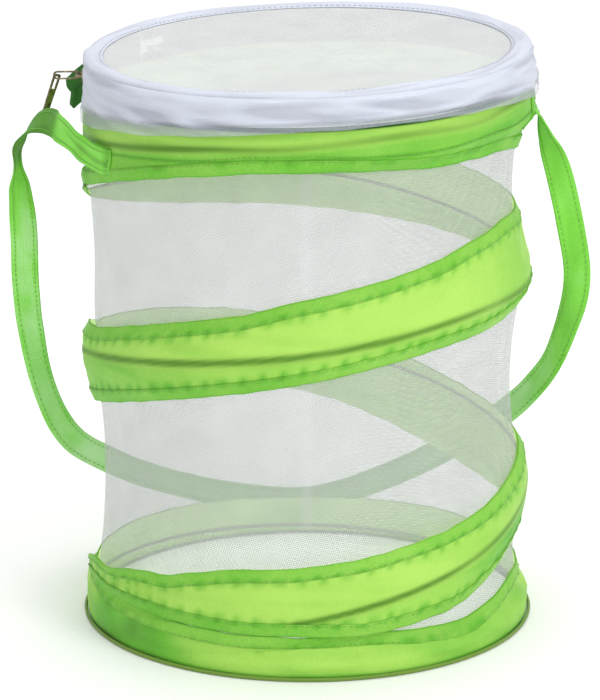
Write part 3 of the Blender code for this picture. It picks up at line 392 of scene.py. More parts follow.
@lru_cache(maxsize=None)
def ridges(angle):
    """Heights of the net's outermost lines at one angle, from the bottom ring to the top ring."""
    last = 360 * COIL_TURNS
    heights = [BOTTOM_RING]
    for turn in range(COIL_TURNS):
        far = angle + 360 * turn
        joined = min(1, far / NET_JOIN_DEG, (last - far) / NET_JOIN_DEG)
        ends = BOTTOM_RING if far < last / 2 else top_ring_height(far)
        heights.append(ends + (coil_height(far) - ends) * joined)
    return heights + [top_ring_height(angle)]


def waist_share(angle, height):
    """Share of the full waist: less low on the right and high on the left, as in the photo."""
    middle, spread, share, level, rise = STRAIGHT_LOW_RIGHT
    from_right = (angle - middle + 180) % 360 - 180
    low_right = share * bell(from_right, spread) * ease((level - height) / rise)
    middle, spread, share, level, rise = STRAIGHT_HIGH_LEFT
    from_left = angle % 360 - middle
    high_left = share * bell(from_left, spread) * ease((height - level) / rise)
    return (1 - low_right) * (1 - high_left)


def net_radius(angle, height):
    """Radius of the net's middle, drawn in between the turns of the spring."""
    lines = ridges(angle % 360)
    for low, high in zip(lines, lines[1:]):
        if low < height < high:
            share = (height - low) / (high - low)
            waist = WAIST_PULL * min(1.0, (high - low) / WAIST_FULL_GAP)
            waist *= waist_share(angle, height)
            soft = NET_SOFTNESS * (ripple(angle, height, across=0.034, up=0.05, seed=3.0) - 1)
            return NET_RADIUS + (soft - waist) * 4 * share * (1 - share)
    return NET_RADIUS


def sleeve_edges(angle):
    """Heights of the sleeve's lower and upper edges, kept clear of the two bands."""
    low = sleeve_height(angle) - SLEEVE_WIDTH / 2 + between(SLEEVE_LOW_WANDER, angle)
    high = sleeve_height(angle) + SLEEVE_WIDTH / 2 + between(SLEEVE_TOP_WANDER, angle)
    low = max(low, bottom_band_top(angle) + SLEEVE_BAND_GAP)
    high = min(high, top_band_low(angle) - SLEEVE_BAND_GAP)
    if high - low < SLEEVE_LEAST:
        if angle > SLEEVE_END / 2:
            low = high - SLEEVE_LEAST
        else:
            high = low + SLEEVE_LEAST
    return low, high


def sleeve_lines(angle, share):
    """The sleeve's edges, the height at a share of its width, and the height of its wire."""
    low, high = sleeve_edges(angle)
    return low, high, low + (high - low) * share, clamp(coil_height(angle), low, high)


def band_radius(angle, height):
    """Inner radius of a band: over the wires behind it, and leaning in on the net beside them."""
    around = angle % 360
    resting = net_radius(around, height) + COVER_OFFSET
    wires = [BOTTOM_RING, top_ring_height(around)]
    wires += [coil_height(around + 360 * turn) for turn in range(COIL_TURNS)]
    distance = min(abs(height - wire) for wire in wires)
    return resting + (COVER_RADIUS - resting) * ease(1 - (distance - BAND_FLAT) / BAND_FALL)


# Making pieces

def settings():
    return bpy.context.scene.cage


def add_piece(name, builder, material, thickness=0.0, offset=1.0, sharp=50, reverse=None):
    """Turn a bmesh into a named piece at the origin, with its finish and any cloth thickness."""
    mesh = bpy.data.meshes.new(name)
    builder.to_mesh(mesh)
    builder.free()
    mesh.shade_smooth()
    mesh.set_sharp_from_angle(angle=math.radians(sharp))
    item = bpy.data.objects.new(name, mesh)
    bpy.context.scene.collection.objects.link(item)
    mesh.materials.append(material)
    if thickness:
        solid = item.modifiers.new("cloth thickness", "SOLIDIFY")
        solid.thickness = thickness
        solid.offset = offset
        solid.use_even_offset = False
        solid.use_rim = True
        if reverse:
            mesh.materials.append(reverse)
            solid.material_offset = 1
    return item


def cloth(name, columns, rows, place, flat, material, thickness=CLOTH, offset=1.0, closed=False,
          tone_and_shade=None, crease_shade=None, uv_of=None, reverse=None):
    """A sheet: a grid whose corners are put at place(share along, share across)."""
    builder = bmesh.new()
    uv_layer = builder.loops.layers.uv.new("cloth")
    tone_and_shade_layer = builder.verts.layers.float.new("tone_and_shade")
    crease_shade_layer = builder.verts.layers.float.new("crease_shade")
    bmesh.ops.create_grid(builder, x_segments=columns, y_segments=rows, size=0.5)
    for face in builder.faces:
        for loop in face.loops:
            along, across = loop.vert.co.x + 0.5, loop.vert.co.y + 0.5
            spot = uv_of(along, across) if uv_of else (along * flat[0], across * flat[1])
            loop[uv_layer].uv = spot
    for vert in builder.verts:
        along, across = vert.co.x + 0.5, vert.co.y + 0.5
        # Tone holds painted shade as well as the hems' deeper colour; crease holds painted crease
        # shade
        vert[tone_and_shade_layer] = tone_and_shade(along, across) if tone_and_shade else 0.0
        vert[crease_shade_layer] = crease_shade(along, across) if crease_shade else 0.0
        vert.co = place(along, across)
    if closed:
        bmesh.ops.remove_doubles(builder, verts=builder.verts, dist=0.000002)
    return add_piece(name, builder, material, thickness, offset, reverse=reverse)


def disc_uv(radius, middle=0.12):
    """UV map of a round cloth whose rows are rings."""
    def flat(along, across):
        out, turn = radius * across, 2 * math.pi * along
        return (middle + out * math.cos(turn), middle + out * math.sin(turn))

    return flat


def wire_ring(name, place, columns, diameter):
    """A round wire along place(share): a grid rolled up round the line."""
    step = 0.0005

    def spot(along, across):
        here = place(along)
        ahead = (place(along + step) - place(along - step)).normalized()
        up = ahead.cross(outwards(here)).normalized()
        out = up.cross(ahead).normalized()
        turn = -2 * math.pi * across
        return here + (out * math.cos(turn) + up * math.sin(turn)) * diameter / 2

    flat = (2 * math.pi * RING_RADIUS, math.pi * diameter)
    return cloth(name, columns, WIRE_SIDES, spot, flat, spring_steel(), thickness=0, closed=True)


def scatter(name, places, material):
    """One small round hump for each matrix, joined in one piece; batches make it much quicker."""
    batch_size = 30
    whole = bmesh.new()
    batch = bpy.data.meshes.new(name)
    for first in range(0, len(places), batch_size):
        few = bmesh.new()
        for place in places[first:first + batch_size]:
            bmesh.ops.create_uvsphere(few, u_segments=6, v_segments=4, radius=1.0, matrix=place)
        few.to_mesh(batch)
        few.free()
        whole.from_mesh(batch)
    bpy.data.meshes.remove(batch)
    return add_piece(name, whole, material, sharp=80)


def thread_row(name, point_at, length, material, from_share=0.0, to_share=1.0):
    """A row of stitches: thread humps along point_at(share), which gives (point, outwards)."""
    step = 0.0008
    size = Matrix.Diagonal((settings().stitch_length / 2, THREAD_WIDTH, THREAD_HEIGHT, 1.0))
    places = []
    count = max(int(length * (to_share - from_share) / settings().stitch_pitch), 1)
    for index in range(count):
        share = from_share + (to_share - from_share) * (index + 0.5) / count
        here, outward = point_at(share)
        ahead = (point_at(share + step)[0] - point_at(share - step)[0]).normalized()
        across = outward.cross(ahead).normalized()
        outward = ahead.cross(across).normalized()
        turn = Matrix((ahead, across, outward)).transposed().to_4x4()
        places.append(Matrix.Translation(here) @ turn @ size)
    return scatter(name, places, material)


def dress(item, body, slot, *nodes, folds=False):
    """Say what carries a piece and which solids it stands for; slot, its finish, is not used."""
    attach(item, body)
    if nodes:
        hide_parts(*nodes)
    if folds:
        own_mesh(item)
    return item


# Finishes

def scaled(colour, share):
    return [part * share for part in colour]


def paler(colour, share):
    return [part + (1 - part) * share for part in colour]


def node(tree, kind, inputs=None, **values):
    """Add a node, set its values, and set or link its inputs."""
    item = tree.nodes.new(kind)
    for key, value in values.items():
        setattr(item, key, value)
    fill(tree, item, inputs or {})
    return item


def fill(tree, item, inputs):
    for key, value in inputs.items():
        if isinstance(value, bpy.types.NodeSocket):
            tree.links.new(value, item.inputs[key])
        else:
            item.inputs[key].default_value = value


def put(tree, shader, **inputs):
    """Set or link the shader's own sockets."""
    fill(tree, shader, {key.replace("_", " "): value for key, value in inputs.items()})


def math_node(tree, operation, first, second=0.0):
    return node(tree, "ShaderNodeMath", {0: first, 1: second}, operation=operation).outputs[0]


def range_node(tree, value, from_low, from_high, to_low, to_high):
    inputs = {"Value": value, "From Min": from_low, "From Max": from_high,
              "To Min": to_low, "To Max": to_high}
    return node(tree, "ShaderNodeMapRange", inputs).outputs[0]


def noise_node(tree, vector, scale, detail=2.0, distortion=0.0):
    inputs = {"Vector": vector, "Scale": scale, "Detail": detail, "Distortion": distortion}
    return node(tree, "ShaderNodeTexNoise", inputs).outputs[0]


def wave_node(tree, vector, pitch, direction):
    """Even threads at a pitch in metres along one way of the cloth."""
    item = node(tree, "ShaderNodeTexWave",
                {"Vector": vector, "Scale": 0.31416 / pitch, "Detail": 0.0},
                bands_direction=direction)
    return item.outputs["Fac"]


def bump_node(tree, height, strength, distance, **inputs):
    inputs.update({"Height": height, "Strength": strength, "Distance": distance})
    return node(tree, "ShaderNodeBump", inputs).outputs[0]


def value_node(tree, name):
    """A value that the cloth carries on its vertices."""
    return node(tree, "ShaderNodeAttribute", attribute_name=name).outputs["Fac"]


def ramp_node(tree, value, stops):
    item = node(tree, "ShaderNodeValToRGB", {0: value})
    ramp = item.color_ramp
    while len(ramp.elements) < len(stops):
        ramp.elements.new(1.0)
    for element, (place, colour) in zip(ramp.elements, stops):
        element.position = place
        element.color = (*colour, 1.0)
    return item.outputs[0]


def cloth_uv(tree):
    return node(tree, "ShaderNodeUVMap", uv_map="cloth").outputs[0]


def object_places(tree):
    return node(tree, "ShaderNodeTexCoord").outputs["Object"]


def made_once(finish):
    """Call a finish by its material's name; it fills in a new material the first time only."""
    @wraps(finish)
    def look_up(name, *values, **named):
        if name not in bpy.data.materials:
            material = bpy.data.materials.new(name)
            material.use_nodes = True
            tree = material.node_tree
            finish(tree, tree.nodes["Principled BSDF"], *values, **named)
        return bpy.data.materials[name]

    return look_up


@made_once
def cloth_finish(tree, shader, stops, pitch=0.00045, weave=0.35, crinkle=0.0006,
                 crinkle_scale=150.0, sheen=0.06, mottle=0.22, sheer=None, lit=0.0, crease_shade_colour=None):
    """Woven cloth: thread bumps, crinkles and uneven colour.

    The stops give its colour from tone 0 to 1: the deeper colour of hems, and painted shade in
    folds and gathers. The crease colour is painted shade in sharp creases; lit is a painted glow
    of a side, standing in for light shining through the cloth; and sheer (alpha, low, high) thins
    it towards its lower edge.
    """
    uv, places = cloth_uv(tree), object_places(tree)
    broad = noise_node(tree, places, 42.0, 3.0)
    fine = noise_node(tree, places, 700.0)
    warp, weft = wave_node(tree, uv, pitch, "X"), wave_node(tree, uv, pitch, "Y")
    threads = math_node(tree, "ADD", warp, weft)
    # Tone: the hems' deeper colour, and painted shade in folds, gathers and on the darker sides
    tone_and_shade = value_node(tree, "tone_and_shade")
    for pattern, middle, amount in ((broad, 0.5, mottle), (fine, 0.5, mottle * 0.6),
                                    (threads, 1.0, 0.05)):
        centred = math_node(tree, "SUBTRACT", pattern, middle)
        tone_and_shade = math_node(tree, "ADD", tone_and_shade, math_node(tree, "MULTIPLY", centred, amount))
    colour = ramp_node(tree, tone_and_shade, stops)
    # Painted shade: the crease colour is mixed in along sharp creases
    if crease_shade_colour:
        mix = {"Factor": value_node(tree, "crease_shade"), 6: colour, 7: (*crease_shade_colour, 1.0)}
        colour = node(tree, "ShaderNodeMix", mix, data_type="RGBA").outputs[2]
    weave_bump = bump_node(tree, threads, weave, 0.00016)
    crinkles = noise_node(tree, places, crinkle_scale, 4.0, 0.8)
    put(tree, shader, Base_Color=colour, Roughness=range_node(tree, broad, 0.3, 0.7, 0.45, 0.66),
        Normal=bump_node(tree, crinkles, 0.7, crinkle, Normal=weave_bump),
        Sheen_Weight=sheen, Sheen_Roughness=0.35, Specular_IOR_Level=0.3)
    # Painted glow, standing in for light shining through the cloth
    if lit:
        put(tree, shader, Emission_Color=colour, Emission_Strength=lit)
    if sheer:
        low_alpha, low, high = sheer
        across = node(tree, "ShaderNodeSeparateXYZ", {0: uv}).outputs["Y"]
        put(tree, shader, Alpha=range_node(tree, across, low, high, low_alpha, 1.0))


@made_once
def net_finish(tree, shader, colour, pitch, thread_alpha=0.40, hole_alpha=0.12, lit=0.0):
    """Fine mesh: small round holes in staggered rows between soft white threads."""
    uv, uneven = cloth_uv(tree), noise_node(tree, object_places(tree), 55.0)
    wave = 4 * math.pi / (math.sqrt(3) * pitch)
    field = 0.0
    for turn in (18, 78, 138):
        way = (wave * math.cos(math.radians(turn)), wave * math.sin(math.radians(turn)), 0)
        along = node(tree, "ShaderNodeVectorMath", {0: uv, 1: way}, operation="DOT_PRODUCT")
        cosine = math_node(tree, "COSINE", along.outputs["Value"])
        field = math_node(tree, "ADD", cosine, field)
    shifted = math_node(tree, "ADD", field, range_node(tree, uneven, 0.3, 0.7, -0.25, 0.25))
    cover = range_node(tree, shifted, -0.75, 0.15, thread_alpha, hole_alpha)
    shade = ramp_node(tree, uneven, ((0.25, scaled(colour, 0.93)), (0.7, colour)))
    bump = node(tree, "ShaderNodeBump", {"Strength": 0.4, "Distance": 0.0002, "Height": field},
                invert=True)
    put(tree, shader, Base_Color=shade, Alpha=cover, Normal=bump.outputs[0],
        Roughness=range_node(tree, uneven, 0.3, 0.7, 0.5, 0.7), Sheen_Weight=0.15,
        Emission_Color=shade, Emission_Strength=lit)


@made_once
def thread_finish(tree, shader, colour):
    """Sewing thread: twisted, a little glossy, uneven along its run."""
    places = object_places(tree)
    twist = noise_node(tree, places, 2600.0, 1.0)
    broad = noise_node(tree, places, 90.0, 1.0)
    shade = ramp_node(tree, broad, ((0.3, scaled(colour, 0.7)), (0.7, colour)))
    put(tree, shader, Base_Color=shade, Roughness=range_node(tree, twist, 0.3, 0.7, 0.45, 0.65),
        Normal=bump_node(tree, twist, 0.5, 0.0001), Sheen_Weight=0.2)


@made_once
def metal_finish(tree, shader, colour, worn, rough, metallic=1.0):
    """Metal with fine scratches, dull spots and brighter worn patches."""
    places = object_places(tree)
    broad = noise_node(tree, places, 420.0, 4.0)
    scratches = noise_node(tree, places, 1800.0, 2.0, 2.0)
    shade = ramp_node(tree, broad, ((0.42, colour), (0.66, worn)))
    put(tree, shader, Base_Color=shade, Metallic=metallic,
        Roughness=range_node(tree, scratches, 0.3, 0.7, rough * 0.8, rough * 1.3),
        Normal=bump_node(tree, scratches, 0.25, 0.0001))


@made_once
def plastic_finish(tree, shader, colour):
    """Moulded plastic with uneven gloss."""
    places = object_places(tree)
    broad = noise_node(tree, places, 260.0)
    shade = ramp_node(tree, broad, ((0.3, scaled(colour, 0.75)), (0.7, colour)))
    put(tree, shader, Base_Color=shade, Roughness=range_node(tree, broad, 0.3, 0.7, 0.32, 0.48),
        Normal=bump_node(tree, noise_node(tree, places, 3000.0), 0.2, 0.0001))


@made_once
def studio_finish(tree, shader):
    """The pale, matt floor of the studio."""
    grain = noise_node(tree, object_places(tree), 300.0)
    shade = ramp_node(tree, grain, ((0.3, (0.96, 0.96, 0.96)), (0.7, (0.98, 0.98, 0.98))))
    put(tree, shader, Base_Color=shade, Roughness=0.9)


def green_cloth():
    tints = settings()
    # Tone 1 and the crease colour are painted shade
    stops = ((0.0, tints.light_green), (0.5, tints.deep_green), (1.0, tints.fold_shade_green))
    return cloth_finish("green nylon", stops, crease_shade_colour=tints.crease_shade_olive)


def backlit_reverse_cloth():
    """Green cloth's reverse, seen through the net; its pale colour and glow are painted light."""
    stops = ((0.0, paler(settings().light_green, 0.3)), (1.0, settings().deep_green))
    return cloth_finish("green reverse", stops, lit=0.6)


def hem_cloth():
    tints = settings()
    middle = [(one + two) / 2 for one, two in zip(tints.light_green, tints.deep_green)]
    # Tone 1 of the hem is painted shade in its gathers
    stops = ((0.0, middle), (0.40, tints.deep_green), (1.0, tints.fold_shade_green))
    return cloth_finish("green hem", stops, crinkle=0.0011, crinkle_scale=230.0, mottle=0.5)


def white_cloth(name="white cloth", shade=0.80, sheer=None):
    white = settings().white
    stops = ((0.0, white), (0.55, scaled(white, shade)), (1.0, scaled(white, shade * 0.6)))
    return cloth_finish(name, stops, crinkle=0.0007, crinkle_scale=110.0, sheen=0.15, mottle=0.12,
                        sheer=sheer)


def floor_cloth():
    """Floor panel's cloth, with a faint painted glow for light reaching it through all the nets."""
    stops = ((0.0, scaled(settings().net, 1.5)), (1.0, settings().net))
    return cloth_finish("floor cloth", stops, mottle=0.1, lit=0.35)


def olive_binding():
    stops = ((0.0, settings().olive), (1.0, scaled(settings().olive, 0.4)))
    return cloth_finish("olive binding", stops, pitch=0.0007, weave=0.6, sheen=0.15, mottle=0.4)


def dark_tape():
    stops = ((0.0, settings().dark_green), (1.0, scaled(settings().dark_green, 0.35)))
    return cloth_finish("dark green tape", stops, pitch=0.0008, weave=0.6, sheen=0.2, mottle=0.3)


def strap_webbing():
    """Webbing, paler at tone 0 as painted light for the part that is seen through the cage."""
    green = settings().strap_green
    stops = ((0.0, paler(green, 0.34)), (0.25, green), (0.62, scaled(green, 0.55)),
             (1.0, scaled(green, 0.25)))
    # The glow of lit is painted light as well
    return cloth_finish("strap webbing", stops, pitch=0.0009, weave=0.6, crinkle=0.0004,
                        mottle=0.16, lit=0.20)


def white_net():
    return net_finish("white net", settings().net, settings().net_pitch)


def lid_mesh():
    """The lid's net, which is seen at a low angle and so looks denser."""
    return net_finish("lid net", scaled(settings().net, 1.25), settings().net_pitch * 1.5,
                      thread_alpha=0.80, hole_alpha=0.60)


def seam_mesh():
    """Doubled net strip behind the wall's seam; its pale colour and glow are painted light."""
    return net_finish("seam net", scaled(settings().net, 1.6), settings().net_pitch,
                      thread_alpha=0.09, hole_alpha=0.03, lit=0.9)


def green_thread():
    greens = zip(settings().light_green, settings().deep_green)
    return thread_finish("green thread", [(one + two) * 0.36 for one, two in greens])


def strap_thread():
    return thread_finish("strap thread", scaled(settings().strap_green, 0.8))


def white_thread():
    return thread_finish("white thread", scaled(settings().white, 0.85))


def nylon_teeth():
    return plastic_finish("zip teeth", (0.10, 0.20, 0.05))


def spring_steel():
    return metal_finish("spring steel", (0.62, 0.64, 0.62), (0.74, 0.75, 0.73), 0.45, metallic=0.7)


def dark_bronze():
    return metal_finish("dark bronze", settings().bronze, scaled(settings().bronze, 2.2), 0.38)


class CageSettings(bpy.types.PropertyGroup):
    """Sizes and colours of the cage's finish."""
    net_pitch: FloatProperty(
        name="Mesh pitch", description="Distance between the net's holes",
        default=0.0011, unit="LENGTH", precision=5)
    stitch_pitch: FloatProperty(
        name="Stitch pitch", description="Distance between stitches",
        default=0.0030, unit="LENGTH", precision=5)
    stitch_length: FloatProperty(
        name="Stitch length", description="Length of one stitch",
        default=0.0021, unit="LENGTH", precision=5)
    pucker: FloatProperty(
        name="Pucker", description="Depth of the gathers along the seams",
        default=0.0007, unit="LENGTH", precision=5)
    fold: FloatProperty(
        name="Fold", description="Depth of the long soft folds",
        default=0.0012, unit="LENGTH", precision=5)
    light_green: FloatVectorProperty(
        name="Light green", description="Single green cloth",
        default=(0.42, 0.72, 0.115), subtype="COLOR", size=3)
    deep_green: FloatVectorProperty(
        name="Deep green", description="Doubled green cloth",
        default=(0.13, 0.47, 0.028), subtype="COLOR", size=3)
    # Painted shade in the cloth's gathers and folds
    fold_shade_green: FloatVectorProperty(
        name="Crease green", description="Green cloth in its gathers and folds",
        default=(0.075, 0.23, 0.010), subtype="COLOR", size=3)
    # Painted shade along the cloth's sharp creases
    crease_shade_olive: FloatVectorProperty(
        name="Crease olive", description="Green cloth in its sharp creases",
        default=(0.100, 0.260, 0.016), subtype="COLOR", size=3)
    strap_green: FloatVectorProperty(
        name="Strap green", description="Strap webbing",
        default=(0.19, 0.60, 0.055), subtype="COLOR", size=3)
    dark_green: FloatVectorProperty(
        name="Dark green", description="Zip tape and tail",
        default=(0.025, 0.15, 0.015), subtype="COLOR", size=3)
    olive: FloatVectorProperty(
        name="Olive", description="Binding along the bottom edge",
        default=(0.17, 0.30, 0.04), subtype="COLOR", size=3)
    white: FloatVectorProperty(
        name="White cloth", description="Lid rim and flap",
        default=(0.60, 0.63, 0.72), subtype="COLOR", size=3)
    net: FloatVectorProperty(
        name="Net", description="Net threads and floor",
        default=(0.60, 0.61, 0.615), subtype="COLOR", size=3)
    bronze: FloatVectorProperty(
        name="Bronze", description="Slider and pull tab",
        default=(0.17, 0.145, 0.09), subtype="COLOR", size=3)


# Wall and wires

class CAGE_OT_wall(bpy.types.Operator):
    """The wall net, drawn in between the turns of the spring, and the seam tape inside it"""
    bl_idname = "cage.wall"
    bl_label = "Wall net"

    def execute(self, context):
        girth, rise = 2 * math.pi * NET_RADIUS, TOP_RING - BOTTOM_RING

        def wall(along, across):
            angle = 360 * along
            height = BOTTOM_RING + (top_ring_height(angle) - BOTTOM_RING) * across
            return cylinder_point(net_radius(angle, height), angle, height)

        net = cloth("wall_net_cloth", 180, 104, wall, (girth, rise), white_net(),
                    thickness=NET_CLOTH, offset=0, closed=True)
        dress(net, "base", "white_net", "wall_net", folds=True)

        def seam(along, across):
            angle = SEAM_ANGLE + math.degrees((across - 0.5) * SEAM_WIDTH / RING_RADIUS)
            high = top_ring_height(SEAM_ANGLE) - SEAM_BELOW_RING
            height = SEAM_LOW + (high - SEAM_LOW) * along
            return cylinder_point(net_radius(SEAM_ANGLE, height) - SEAM_STANDOFF, angle, height)

        tape = cloth("wall_seam_cloth", 90, 5, seam, (rise, SEAM_WIDTH), seam_mesh(),
                     thickness=SEAM_THICKNESS)
        dress(tape, "base", "white_cloth", "wall_seam_tape", folds=True)
        return {"FINISHED"}


class CAGE_OT_spring(bpy.types.Operator):
    """The spring coil and the rings of wire at the bottom, at the top and in the lid"""
    bl_idname = "cage.spring"
    bl_label = "Spring wires"

    def execute(self, context):
        def coil(share):
            last = 360 * COIL_TURNS
            return cylinder_point(RING_RADIUS, last * share, coil_height(last * clamp(share)))

        def bottom(share):
            return cylinder_point(RING_RADIUS, 360 * share, BOTTOM_RING)

        def top(share):
            return cylinder_point(RING_RADIUS, 360 * share, top_ring_height(360 * share))

        def hoop(share):
            return rim_point(HOOP_RADIUS, 360 * share, HOOP_HEIGHT)

        wire = wire_ring("spring_coil_wire", coil, 540, WIRE)
        dress(wire, "base", "spring_steel", "spring_coil", folds=True)
        dress(wire_ring("bottom_ring_wire", bottom, 180, WIRE), "base", "spring_steel",
              "bottom_wire_ring")
        dress(wire_ring("top_ring_wire", top, 180, WIRE), "rim", "spring_steel", "top_wire_ring")
        dress(wire_ring("lid_hoop_wire", hoop, 180, HOOP_WIRE), "lid", "spring_steel", "lid_hoop")
        return {"FINISHED"}


# Spiral sleeve

def sleeve_gathers(along, share):
    """Gathers along a seam, from 0 in a trough to 1 on a crest."""
    wander = 3.0 * strip_noise(along / 0.02, share, seed=1.0)
    return 0.5 + 0.5 * math.sin(along / GATHER_PITCH * 2 * math.pi + wander)


def sleeve_spot(angle, share, lift=0.0):
    """A point of the spiral sleeve; share runs from its lower to its upper edge."""
    low, high, height, wire = sleeve_lines(angle, share)
    width = high - low
    along = arc(angle)
    from_edge = min(share, 1 - share) * width

    # From the wire down to the net: rounded over the wire, straight where the sleeve is taut
    edge = low if height < wire else high
    resting = net_radius(angle, edge) + COVER_OFFSET
    soft = 0.0022
    drop = math.hypot(height - wire, soft) - soft
    full_drop = max(math.hypot(edge - wire, soft) - soft, 0.0001)
    radius = COVER_RADIUS + (resting - COVER_RADIUS) * min(drop / full_drop, 1)
    radius = max(radius, net_radius(angle, height) + COVER_OFFSET)
    radius += (COVER_RADIUS - radius) * clamp((LOOSE_FROM - angle) / (LOOSE_FROM - TAUT_FROM))
    radius += BULGE * bell(angle - BULGE_ANGLE, BULGE_SPREAD)

    # Gathers along the two seams, long folds where the cloth is free, and edges that wave
    seam = bell(from_edge - min(HEM_WIDTH, width * SLEEVE_HEM_SHARE), 0.0042)
    deep = 0.5 + 0.8 * abs(strip_noise(along / 0.03, 0, seed=7.0))
    puckers = settings().pucker * sleeve_gathers(along, share) * seam * deep
    free = ease((abs(height - wire) - 0.0015) / 0.006) * ease(from_edge / 0.006)
    full_width = clamp(width / SLEEVE_WIDTH)
    sweep = strip_noise(along / 0.055 + share * 2.0, height / 0.007, seed=4.0)
    cross = strip_noise(along / 0.012 - share * 3.5, share * 1.2, seed=9.0)
    folds = settings().fold * (0.55 + 0.6 * sweep + 0.35 * cross) * free * full_width
    loose = 1 + 1.2 * bell(angle - 212, 18)
    wave = 0.0007 * loose * strip_noise(along / 0.011, 0, seed=12.0)
    wave *= math.exp(-from_edge / 0.004) * full_width
    return cylinder_point(radius + lift + puckers + max(folds, 0), angle, height + wave)


def sleeve_painted_shade(angle, share):
    """Painted shade on the sleeve's green: in gathers and folds, below the wire and at the sides.
    """
    low, high, height, wire = sleeve_lines(angle, share)
    along, width = arc(angle), high - low
    from_edge = min(share, 1 - share) * width
    seam = bell(from_edge - min(HEM_WIDTH, width * SLEEVE_HEM_SHARE) - 0.0010, 0.0022)
    gathered = 0.34 * seam * (1 - sleeve_gathers(along, share)) ** 2
    # Painted shade below the wire
    below = 0.16 * ease((wire - height) / 0.004) * (1 + bell(angle - 345, 25))
    folds = 0.16 * max(strip_noise(along / 0.05 + share * 2.0, height / 0.006, seed=4.6), 0)
    around = angle % 360
    # Painted shade on the right and the left sides
    return gathered + below + folds + 0.20 * bell(around - 342, 22) + 0.15 * bell(around - 200, 30)


def sleeve_crease_shade(angle, share):
    """How much painted crease shade the sleeve gets along the wire, least on the right."""
    height, wire = sleeve_lines(angle, share)[2:]
    above, around = height - wire, angle % 360
    crease_shade = 1.7 * bell(above - 0.0009, 0.0016) + 0.22 * bell(above + 0.0014, 0.0020)
    crease_shade *= 1 - 0.45 * ease((around - 285) / 50) * ease((400 - around) / 50)
    return clamp(crease_shade * (0.80 + 0.5 * strip_noise(arc(angle) / 0.04, 0, seed=3.0)))


class CAGE_OT_sleeve(bpy.types.Operator):
    """The green sleeve wound round the wall with the spring in it, and its two stitched hems"""
    bl_idname = "cage.sleeve"
    bl_label = "Spiral sleeve"

    def execute(self, context):
        sweep = SLEEVE_END - SLEEVE_START
        length = arc(sweep, COVER_RADIUS)

        def angle_at(along):
            return SLEEVE_START + sweep * along

        def follow(shape):
            return lambda along, across: shape(angle_at(along), across)

        body = cloth("spiral_sleeve_cloth", 420, 34, follow(sleeve_spot), (length, SLEEVE_WIDTH),
                     green_cloth(), tone_and_shade=follow(sleeve_painted_shade), crease_shade=follow(sleeve_crease_shade),
                     reverse=backlit_reverse_cloth())
        dress(body, "base", "green_cloth", "spiral_sleeve", folds=True)
        pieces = []
        for name, upper in (("lower", False), ("upper", True)):
            def hem_share(along, across):
                low, high = sleeve_edges(angle_at(along))
                hem = min(HEM_WIDTH, (high - low) * SLEEVE_HEM_SHARE) / (high - low)
                return 1 - hem * (1 - across) if upper else hem * across

            def hem_spot(along, across):
                return sleeve_spot(angle_at(along), hem_share(along, across), CLOTH + LAYER_GAP)

            # The hem's deeper colour, with painted shade on the left, in its gathers and along its
            # folded edge
            def hem_tone_and_shade(along, across):
                inner = 1 - across if upper else across
                gathered = (1 - sleeve_gathers(length * along, 0.8)) ** 2 * bell(inner - 0.9, 0.22)
                left = (0.07 if upper else 0.16) * ease((290 - angle_at(along) % 360) / 40)
                return 0.10 + left + 0.50 * gathered + 0.12 * bell(inner, 0.10)

            def stitch(share):
                share = clamp(share)
                across = 1 - HEM_STITCH_SHARE if upper else HEM_STITCH_SHARE
                point = sleeve_spot(angle_at(share), hem_share(share, across),
                                    CLOTH + HEM_CLOTH + THREAD_RISE)
                return point, outwards(point)

            hem = cloth(f"sleeve_hem_{name}", 420, 7, hem_spot, (length, HEM_WIDTH), hem_cloth(),
                        thickness=HEM_CLOTH, tone_and_shade=hem_tone_and_shade)
            dress(hem, "base", "green_cloth", folds=True)
            row = thread_row(f"sleeve_stitches_{name}", stitch, length, green_thread())
            dress(row, "base", "green_cloth", folds=True)
            pieces += [hem, row]
        edges = [sleeve_edges(angle_at(step / 100)) for step in range(101)]
        return {"FINISHED"}


# Bands

def band_skin(angle, height, radius, from_hem, free, gather_count, fold_size, seeds):
    """A band's cloth: gathers along its hem's seam, long folds where it is free, a wavy edge."""
    gather_seed, fold_seed, edge_seed = seeds
    wander = 3.0 * round_ripple(angle, size=0.02, seed=gather_seed)
    gathers = math.sin(math.radians(angle) * gather_count + wander)
    radius += settings().pucker * (0.5 + 0.5 * gathers) * bell(from_hem - HEM_WIDTH, 0.004)
    folds = 0.4 + 0.9 * ripple(angle, height, *fold_size, fold_seed)
    radius += max(settings().fold * folds * free, 0)
    wave = BAND_EDGE_WAVE * round_ripple(angle, size=0.011, seed=edge_seed)
    wave *= math.exp(-from_hem / 0.004)
    return cylinder_point(radius, angle, height + wave)


def bottom_band_spot(angle, share, lift=0.0):
    """A point of the bottom band; share runs from the floor up to its hem."""
    low, high = FLOOR_THICKNESS + BOTTOM_TURN_UP, bottom_band_top(angle)
    height = low + (high - low) * share
    free = ease(share * 4) * ease((1 - share) * 3)
    return band_skin(angle, height, band_radius(angle, height) + lift, (1 - share) * (high - low),
                     free, 60, (0.03, 0.008), (2.0, 5.0, 8.0))


def bottom_band_painted_shade(along, across):
    """Painted shade on the bottom band's green: at the floor, in its folds and on its two sides."""
    angle = 360 * along
    # Painted shade on the left side and, less, on the right
    left = 0.85 * bell(angle - 219, 19)
    left *= 0.7 + 0.5 * ripple(angle, across * 0.02, across=0.02, up=0.01, seed=1.5)
    right = 0.20 * bell(angle - 330, 26)
    sweep = strip_noise(arc(angle) / 0.03 + across * 1.5, across * 1.2, seed=5.5)
    return 0.06 + 0.45 * bell(across, 0.08) + left + right + 0.35 * max(sweep, 0)


def bottom_hem_share(angle, across):
    return 1 - HEM_WIDTH / (bottom_band_top(angle) - FLOOR_THICKNESS) * (1 - across)


